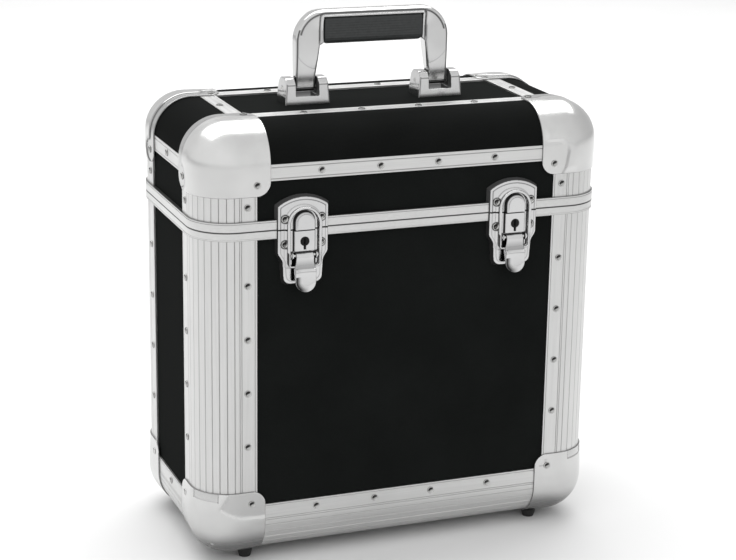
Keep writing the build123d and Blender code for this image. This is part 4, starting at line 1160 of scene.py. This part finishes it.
# painted shade: dark lines in the groove outside the grip's lip, along the legs' long edges, round the outer corner and
# along the top bar, and at the edge of each leg's swelling
def handle_lines(P, N):
    x, y, z = np.abs(P[:, 0]), np.abs(P[:, 1]), P[:, 2]
    nx, ny = np.abs(N[:, 0]), np.abs(N[:, 1])
    gd = np.hypot(np.maximum(x - 44.3, 0), np.maximum(z - 449.5, 0))
    # the groove outside the grip's lip
    v = 0.85 * np.exp(-((gd - 3.7) / 0.7) ** 2) * sstep(427.0, 431.0, z) * (ny > 0.12)
    # the leg's long edges
    edge = np.clip(1.25 - np.abs(nx - 0.42) / 0.3, 0, 1) * (ny > 0.55)
    v = np.maximum(v, edge * np.where(x > 58, 0.9, 0.5) * (z < 440) * (x > 46))
    # the same line runs on round the corner and along the top bar
    out, _ = handle_2d(x, z)
    v = np.maximum(v, 0.85 * np.clip(1.25 - np.abs(out + 3.4) / 0.95, 0, 1) * (ny > 0.12) * (z > 436))
    # the edge of the shallow swelling on each leg
    r = np.hypot(x - 45.5, z - 431.0)
    v = np.maximum(v, 0.42 * np.clip(1 - np.abs(r - 25.3) / 0.42, 0, 1) * (ny > 0.85) * (z < 427))
    return v


# painted shade: the handle's lines, darkening where the casting closes in, and next to the grip
shade(o, np.maximum(np.maximum(handle_lines(hV, hN), 0.6 * cavity(handle_f, hV, hN, (0.4, 0.9, 1.6))), 0.8 * cavity(lambda x, y, z: np.maximum(grip_box(x, y, z), np.abs(y) - 7.9), hV, hN, (0.3, 0.7, 1.2), 0.3, 0.8)))
gV, gQ, gN = iso(grip_f, (-45.6, -9.4, 425.9), (45.6, 9.4, 450.6), 0.5)
o = obj_from("handle_grip_insert", gV, gQ, gN)
o.data.materials.append(GRIPM)
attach(o, "handle")
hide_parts("handle_grip")
# ------------------------------------------------------------------ rivets
RIV_PROF = np.array([(0.0, -7.9), (1.55, -7.9), (1.55, 0.02), (3.02, 0.02), (3.05, 0.3), (3.0, 0.55), (2.86, 0.74), (2.64, 0.84), (2.42, 0.81),
                     (2.22, 0.68), (2.05, 0.45), (1.9, 0.24), (1.7, 0.12), (1.2, 0.07), (0.6, 0.06), (0.0, 0.06)])
# painted shade down the rivet's profile: round its foot and deep in its hollow
RIV_DARK = np.array([0, 0, 0.3, 0.6, 0.4, 0.08, 0, 0, 0, 0.06, 0.25, 0.6, 0.93, 0.97, 0.97, 0.97])


def rivet_mesh(places, n=24):
    """places: (point, outward direction); returns vertices, faces, darkness"""
    V, F, C = [], [], []
    base = 0
    m = len(RIV_PROF)
    for p, nrm in places:
        w = np.array(nrm, float)
        u = np.cross(w, (0.0, 0.0, 1.0) if abs(w[2]) < 0.9 else (1.0, 0.0, 0.0))
        u /= np.linalg.norm(u)
        v = np.cross(w, u)
        p = np.array(p, float)
        # the hollow holds its shadow under the upper edge
        sh = np.array([-0.45, 0.0, 1.0])
        sh = sh - w * (sh @ w)
        sh = sh / max(np.linalg.norm(sh), 1e-6) * min(1.0, np.linalg.norm(sh) * 2)
        for j, (r, h) in enumerate(RIV_PROF):
            if r == 0:
                V.append(p + w * h)
                C.append(0.75 * RIV_DARK[j])
                continue
            for k in range(n):
                a = 2 * math.pi * k / n
                q = u * math.cos(a) + v * math.sin(a)
                V.append(p + q * r + w * h)
                # painted shade: rivets in the top faces are dark in the whole hollow and darkened over the rest
                if w[2] > 0.9:
                    C.append(max(RIV_DARK[j], 0.95 if j > 8 else 0.35))
                elif j < 8:
                    C.append(RIV_DARK[j])
                else:
                    side = float(q @ sh) * min(1.0, r / 1.2)
                    k_ = float(np.clip((side + 0.55) / 0.75, 0, 1))
                    C.append(max(RIV_DARK[j] * (0.22 + 0.78 * k_), 0.9 * k_ * (r < 2.45) * (side > 0.3)))
        i0 = base + 1
        for k in range(n):
            F.append((base, i0 + (k + 1) % n, i0 + k, i0 + k))
        for j in range(m - 3):
            a0 = i0 + j * n
            for k in range(n):
                k2 = (k + 1) % n
                F.append((a0 + k, a0 + k2, a0 + n + k2, a0 + n + k))
        a0 = i0 + (m - 3) * n
        end = a0 + n
        for k in range(n):
            F.append((a0 + k, a0 + (k + 1) % n, end, end))
        base = end + 1
    return np.array(V), F, np.array(C)


CAP_T = 1.2
base_r, lid_r = [], []
for s in (-1, 1):
    nf, nx = (0, s, 0), (s, 0, 0)
    for sx in (-1, 1):
        for z in (249.0, 203.0, 156.5, 109.5):
            base_r.append(((sx * 139.5, s * D / 2, z), nf))
            base_r.append(((s * W / 2, sx * 54.0, z), nx))
        lid_r.append(((sx * 139.5, s * D / 2, 314.5), nf))
        lid_r.append(((s * W / 2, sx * 54.0, 314.5), nx))
        lid_r.append(((sx * 131.5, s * (D / 2 + CAP_T), 332.5), nf))
        lid_r.append(((s * (W / 2 + CAP_T), sx * 50.5, 334.0), nx))
        lid_r.append(((sx * 127.8, s * 45.8, Z_TOP + CAP_T), (0, 0, 1)))
        base_r.append(((sx * 136.5, s * (D / 2 + CAP_T), 58.5), nf))
        base_r.append(((s * (W / 2 + CAP_T), sx * 50.0, 58.0), nx))
    for x in (-76.5, -25.5, 25.5, 76.5):
        lid_r.append(((x, s * D / 2, 341.5), nf))
        lid_r.append(((x, s * 48.0, Z_TOP), (0, 0, 1)))
    for x in (-79.0, -26.0, 26.0, 79.0):
        base_r.append(((x, s * D / 2, 49.5), nf))
    lid_r.append(((s * W / 2, 0, 342.0), nx))
    lid_r.append(((s * 134.0, 0, Z_TOP), (0, 0, 1)))
    base_r.append(((s * W / 2, 0, 49.0), nx))
    for q in (-15.7, 15.7):
        base_r.append(((s * LATCH_X + q, PLATE_F, 282.5), (0, -1, 0)))
        lid_r.append(((s * LATCH_X + q, PLATE_F, 303.7), (0, -1, 0)))
    for q in (-17.0, 17.0):
        for dz in (20.0, 32.5):
            base_r.append(((s * 100.0 + q, 93.7, Z_SEAM - dz), (0, 1, 0)))
            lid_r.append(((s * 100.0 + q, 93.7, Z_SEAM + dz), (0, 1, 0)))

for places, body, node in ((base_r, "base", "base_rivets"), (lid_r, "lid", "lid_rivets")):
    V, F, C = rivet_mesh(places)
    o = obj_from("hollow_" + node, V, F)
    o.data.materials.append(RIVM)
    shade(o, C)
    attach(o, body)
    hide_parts(node)


# ------------------------------------------------------------------ foam linings and the floor pad
def loop_pts(r, off, n_arc=14, n_x=26, n_y=14):
    """points round a rounded rectangle: straight cores hx, hy and corner radius r, with their directions; off is not
    used
    """
    hx, hy = W / 2 - 10.1 - r, D / 2 - 10.1 - r
    pts, nr = [], []
    for q in range(4):
        cx, cy = ((hx, hy), (-hx, hy), (-hx, -hy), (hx, -hy))[q]
        for i in range(n_arc + 1):
            a = math.pi / 2 * (q + i / n_arc)
            pts.append((cx, cy))
            nr.append((math.cos(a), math.sin(a)))
        nx_, ny_ = ((-hx, hy), (-hx, -hy), (hx, -hy), (hx, hy))[q]
        m = n_x if q % 2 == 0 else n_y
        a = math.pi / 2 * (q + 1)
        for i in range(1, m):
            t = i / m
            pts.append((cx + (nx_ - cx) * t, cy + (ny_ - cy) * t))
            nr.append((math.cos(a), math.sin(a)))
    return np.array(pts), np.array(nr)


def tray(z_flat, sgn, z_rim, r=22.9, th=4.0, pad=0.35):
    """a rounded tray of foam: sgn 1 opens upwards, -1 downwards"""
    core, nr = loop_pts(r, 0)
    n = len(core)
    rings = []
    for k in (0.3, 0.65):
        rings.append((core * k, np.full(n, z_flat)))
    for i in range(0, 9):
        a = math.pi / 2 * i / 8
        rings.append((core + nr * r * math.sin(a), np.full(n, z_flat + sgn * (r - r * math.cos(a)))))
    z0, z1 = z_flat + sgn * r, z_rim - sgn * 1.8
    for t in np.linspace(0.08, 1, 12):
        rings.append((core + nr * r, np.full(n, z0 + (z1 - z0) * t)))
    for i in range(1, 7):
        a = math.pi * i / 7
        rings.append((core + nr * (r - th / 2 + th / 2 * math.cos(a)), np.full(n, z1 + sgn * 1.8 * math.sin(a))))
    ri = r - th
    for t in np.linspace(0.0, 0.92, 12):
        bul = pad * np.sin(np.arange(n) * 2 * math.pi / 19.0) * math.sin(math.pi * t)
        rings.append((core + nr * (ri - np.abs(bul))[:, None], np.full(n, z1 + (z0 - z1) * t)))
    for i in range(8, -1, -1):
        a = math.pi / 2 * i / 8
        rings.append((core + nr * ri * math.sin(a), np.full(n, z_flat + sgn * (th + ri - ri * math.cos(a)))))
    for k in (0.65, 0.3):
        rings.append((core * k, np.full(n, z_flat + sgn * th)))
    V = np.concatenate([np.column_stack([p, z]) for p, z in rings])
    F = []
    for j in range(len(rings) - 1):
        for k in range(n):
            k2 = (k + 1) % n
            q = (j * n + k, j * n + k2, (j + 1) * n + k2, (j + 1) * n + k)
            F.append(q if sgn < 0 else q[::-1])
    V = np.vstack([V, [(0, 0, z_flat)], [(0, 0, z_flat + sgn * th)]])
    c0, c1, m = len(V) - 2, len(V) - 1, (len(rings) - 1) * n
    for k in range(n):
        k2 = (k + 1) % n
        a, b = (k, k2, c0, c0), (m + k2, m + k, c1, c1)
        if sgn < 0:
            a, b = (k2, k, c0, c0), (m + k, m + k2, c1, c1)
        F += [a, b]
    return V, F


V, F = tray(Z_BOT + 10.1, 1, Z_BB - 0.1)
o = obj_from("base_foam", V, F)
o.data.materials.append(FOAM)
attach(o, "base")
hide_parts("base_lining")
V, F = tray(Z_TOP - 10.1, -1, Z_BT + 0.1)
o = obj_from("lid_foam", V, F)
o.data.materials.append(FOAM)
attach(o, "lid")
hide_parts("lid_lining")


def floor_cushion():
    """foam pad on the floor: crowned top, soft edges, three faint cross channels"""
    hx, hy, z0, z1 = PADX, PADY, 22.35, 33.0
    nx_, ny_ = 110, 56
    r = 4.5
    V, F = [], []
    top = {}
    xs, ys = np.linspace(-1, 1, nx_), np.linspace(-1, 1, ny_)
    for side in (1, 0):
        for i, a in enumerate(xs):
            for j, b in enumerate(ys):
                x, y = a * hx, b * hy
                e = min(hx - abs(x), hy - abs(y))
                rc = 14.0
                cx, cy = max(abs(x) - (hx - rc), 0), max(abs(y) - (hy - rc), 0)
                if cx > 0 and cy > 0:
                    q = max(cx, cy) / max(math.hypot(cx, cy), 1e-9)
                    x = math.copysign(hx - rc + cx * q, x)
                    y = math.copysign(hy - rc + cy * q, y)
                edge = np.clip(e / r, 0, 1)
                lift = math.sqrt(max(0.0, 1 - (1 - edge) ** 2))
                if side:
                    z = z0 + 4 + (z1 - z0 - 4.6) * lift + 0.5 * lift * math.cos(x / hx * 1.4) * math.cos(y / hy * 1.4)
                    for c in (-60.0, 0.0, 60.0):
                        z -= 0.7 * lift * math.exp(-((x - c) / 1.6) ** 2)
                else:
                    z = z0 + 4 - 4 * lift
                V.append((x, y, z))
    n = nx_ * ny_
    for side in (1, 0):
        o_ = 0 if side else n
        for i in range(nx_ - 1):
            for j in range(ny_ - 1):
                q = (o_ + i * ny_ + j, o_ + (i + 1) * ny_ + j, o_ + (i + 1) * ny_ + j + 1, o_ + i * ny_ + j + 1)
                F.append(q if side else q[::-1])
    rim = ([i * ny_ for i in range(nx_)] + [(nx_ - 1) * ny_ + j for j in range(1, ny_)]
           + [i * ny_ + ny_ - 1 for i in range(nx_ - 2, -1, -1)] + [j for j in range(ny_ - 2, 0, -1)])
    for k in range(len(rim)):
        a, b = rim[k], rim[(k + 1) % len(rim)]
        F.append((b, a, n + a, n + b))
    return np.array(V), F


pv = np.array([NODES["floor_pad"].matrix_world @ v.co for v in NODES["floor_pad"].data.vertices]) / MM
PADX, PADY = float(np.abs(pv[:, 0]).max()) - 0.1, float(np.abs(pv[:, 1]).max()) - 0.1
V, F = floor_cushion()
o = obj_from("floor_foam_pad", V, F)
o.data.materials.append(PADM)
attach(o, "base")
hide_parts("floor_pad")


# ------------------------------------------------------------------ softened edges on the small turned and pressed parts
def soften(node, width, seg=2):
    md = NODES[node].modifiers.new("soft", "BEVEL")
    md.width = width * MM
    md.segments = seg
    md.limit_method = "ANGLE"
    md.angle_limit = math.radians(40)
    md.harden_normals = False


for n_ in ("hinge_base_leaves", "hinge_lid_leaves", "hinge_pins"):
    soften(n_, 0.3)
soften("rubber_feet", 0.5)
soften("handle_pins", 0.4)


# ------------------------------------------------------------------ camera
CAM = dict(pos=(-0.60897, -1.58011, 0.72009), yaw=21.11, pitch=16.61, roll=0.921, f=2006.99)


def make_camera():
    y, p, r = (math.radians(CAM[k]) for k in ("yaw", "pitch", "roll"))
    fwd = Vector((math.sin(y) * math.cos(p), math.cos(y) * math.cos(p), -math.sin(p)))
    right = Vector((math.cos(y), -math.sin(y), 0))
    up = right.cross(fwd)
    r2 = right * math.cos(r) + up * math.sin(r)
    u2 = -right * math.sin(r) + up * math.cos(r)
    cam = bpy.data.cameras.new("camera")
    cam.sensor_fit = "HORIZONTAL"
    cam.sensor_width = 36.0
    cam.lens = CAM["f"] / 736.0 * 36.0
    cam.clip_start, cam.clip_end = 0.05, 50
    o = bpy.data.objects.new("camera", cam)
    bpy.context.scene.collection.objects.link(o)
    o.matrix_world = Matrix(((r2.x, u2.x, -fwd.x, CAM["pos"][0]), (r2.y, u2.y, -fwd.y, CAM["pos"][1]),
                             (r2.z, u2.z, -fwd.z, CAM["pos"][2]), (0, 0, 0, 1)))
    bpy.context.scene.camera = o
    return o


camera = make_camera()


# ------------------------------------------------------------------ floor and light
def stage_floor():
    me = bpy.data.meshes.new("studio_floor")
    n, rad = 64, 11.0
    vs = [(0, 0, 0)] + [(rad * math.cos(2 * math.pi * i / n), rad * math.sin(2 * math.pi * i / n), 0) for i in range(n)]
    me.from_pydata(vs, [], [(0, 1 + i, 1 + (i + 1) % n) for i in range(n)])
    o = bpy.data.objects.new("studio_floor", me)
    bpy.context.scene.collection.objects.link(o)
    m, nt, b = mat("studio_floor", (0.62, 0.62, 0.62), 0.0, 0.8, 0.1)
    f = noise(nt, coords(nt, (1, 1, 1)), 3.0, 2.0, 0.5)
    nt.links.new(ramp(nt, f, [(0.3, (0.61, 0.61, 0.61)), (0.7, (0.63, 0.63, 0.63))]), b.inputs["Base Color"])
    me.materials.append(m)
    return o


floor = stage_floor()


def area(name, loc, target, size, power, color=(1, 1, 1)):
    l = bpy.data.lights.new(name, "AREA")
    l.shape = "RECTANGLE"
    l.size, l.size_y = size
    l.energy = power
    l.color = color
    o = bpy.data.objects.new(name, l)
    bpy.context.scene.collection.objects.link(o)
    o.location = loc
    o.rotation_euler = (Vector(target) - Vector(loc)).to_track_quat("-Z", "Y").to_euler()
    return o


area("overhead", (0.2, 1.25, 2.5), (0.2, 1.0, 0.0), (3.6, 2.5), 100)
# a broad fill keeps the floor in front as bright as the walls; it is too wide to read as a reflection of its own
front = area("floor_fill", (-0.8, -6.0, 4.2), (-0.8, -6.0, 0.0), (12.0, 9.5), 290)
front.visible_glossy = False
bpy.context.scene.view_settings.view_transform = "Standard"

world = bpy.data.worlds.new("studio")
bpy.context.scene.world = world
world.use_nodes = True
wt = world.node_tree
bg = wt.nodes["Background"]
tc = wt.nodes.new("ShaderNodeTexCoord")
dp = wt.nodes.new("ShaderNodeVectorMath")
dp.operation = "DOT_PRODUCT"
dp.inputs[1].default_value = (-0.80, -0.60, 0.0)
wt.links.new(tc.outputs["Generated"], dp.inputs[0])
wr = wt.nodes.new("ShaderNodeMapRange")
for k, v in zip(("From Min", "From Max", "To Min", "To Max"), (-0.9, 0.6, 0.70, 1.08)):
    wr.inputs[k].default_value = v
wt.links.new(dp.outputs["Value"], wr.inputs["Value"])
wt.links.new(wr.outputs["Result"], bg.inputs["Strength"])
bg.inputs["Color"].default_value = (1, 1, 1, 1)
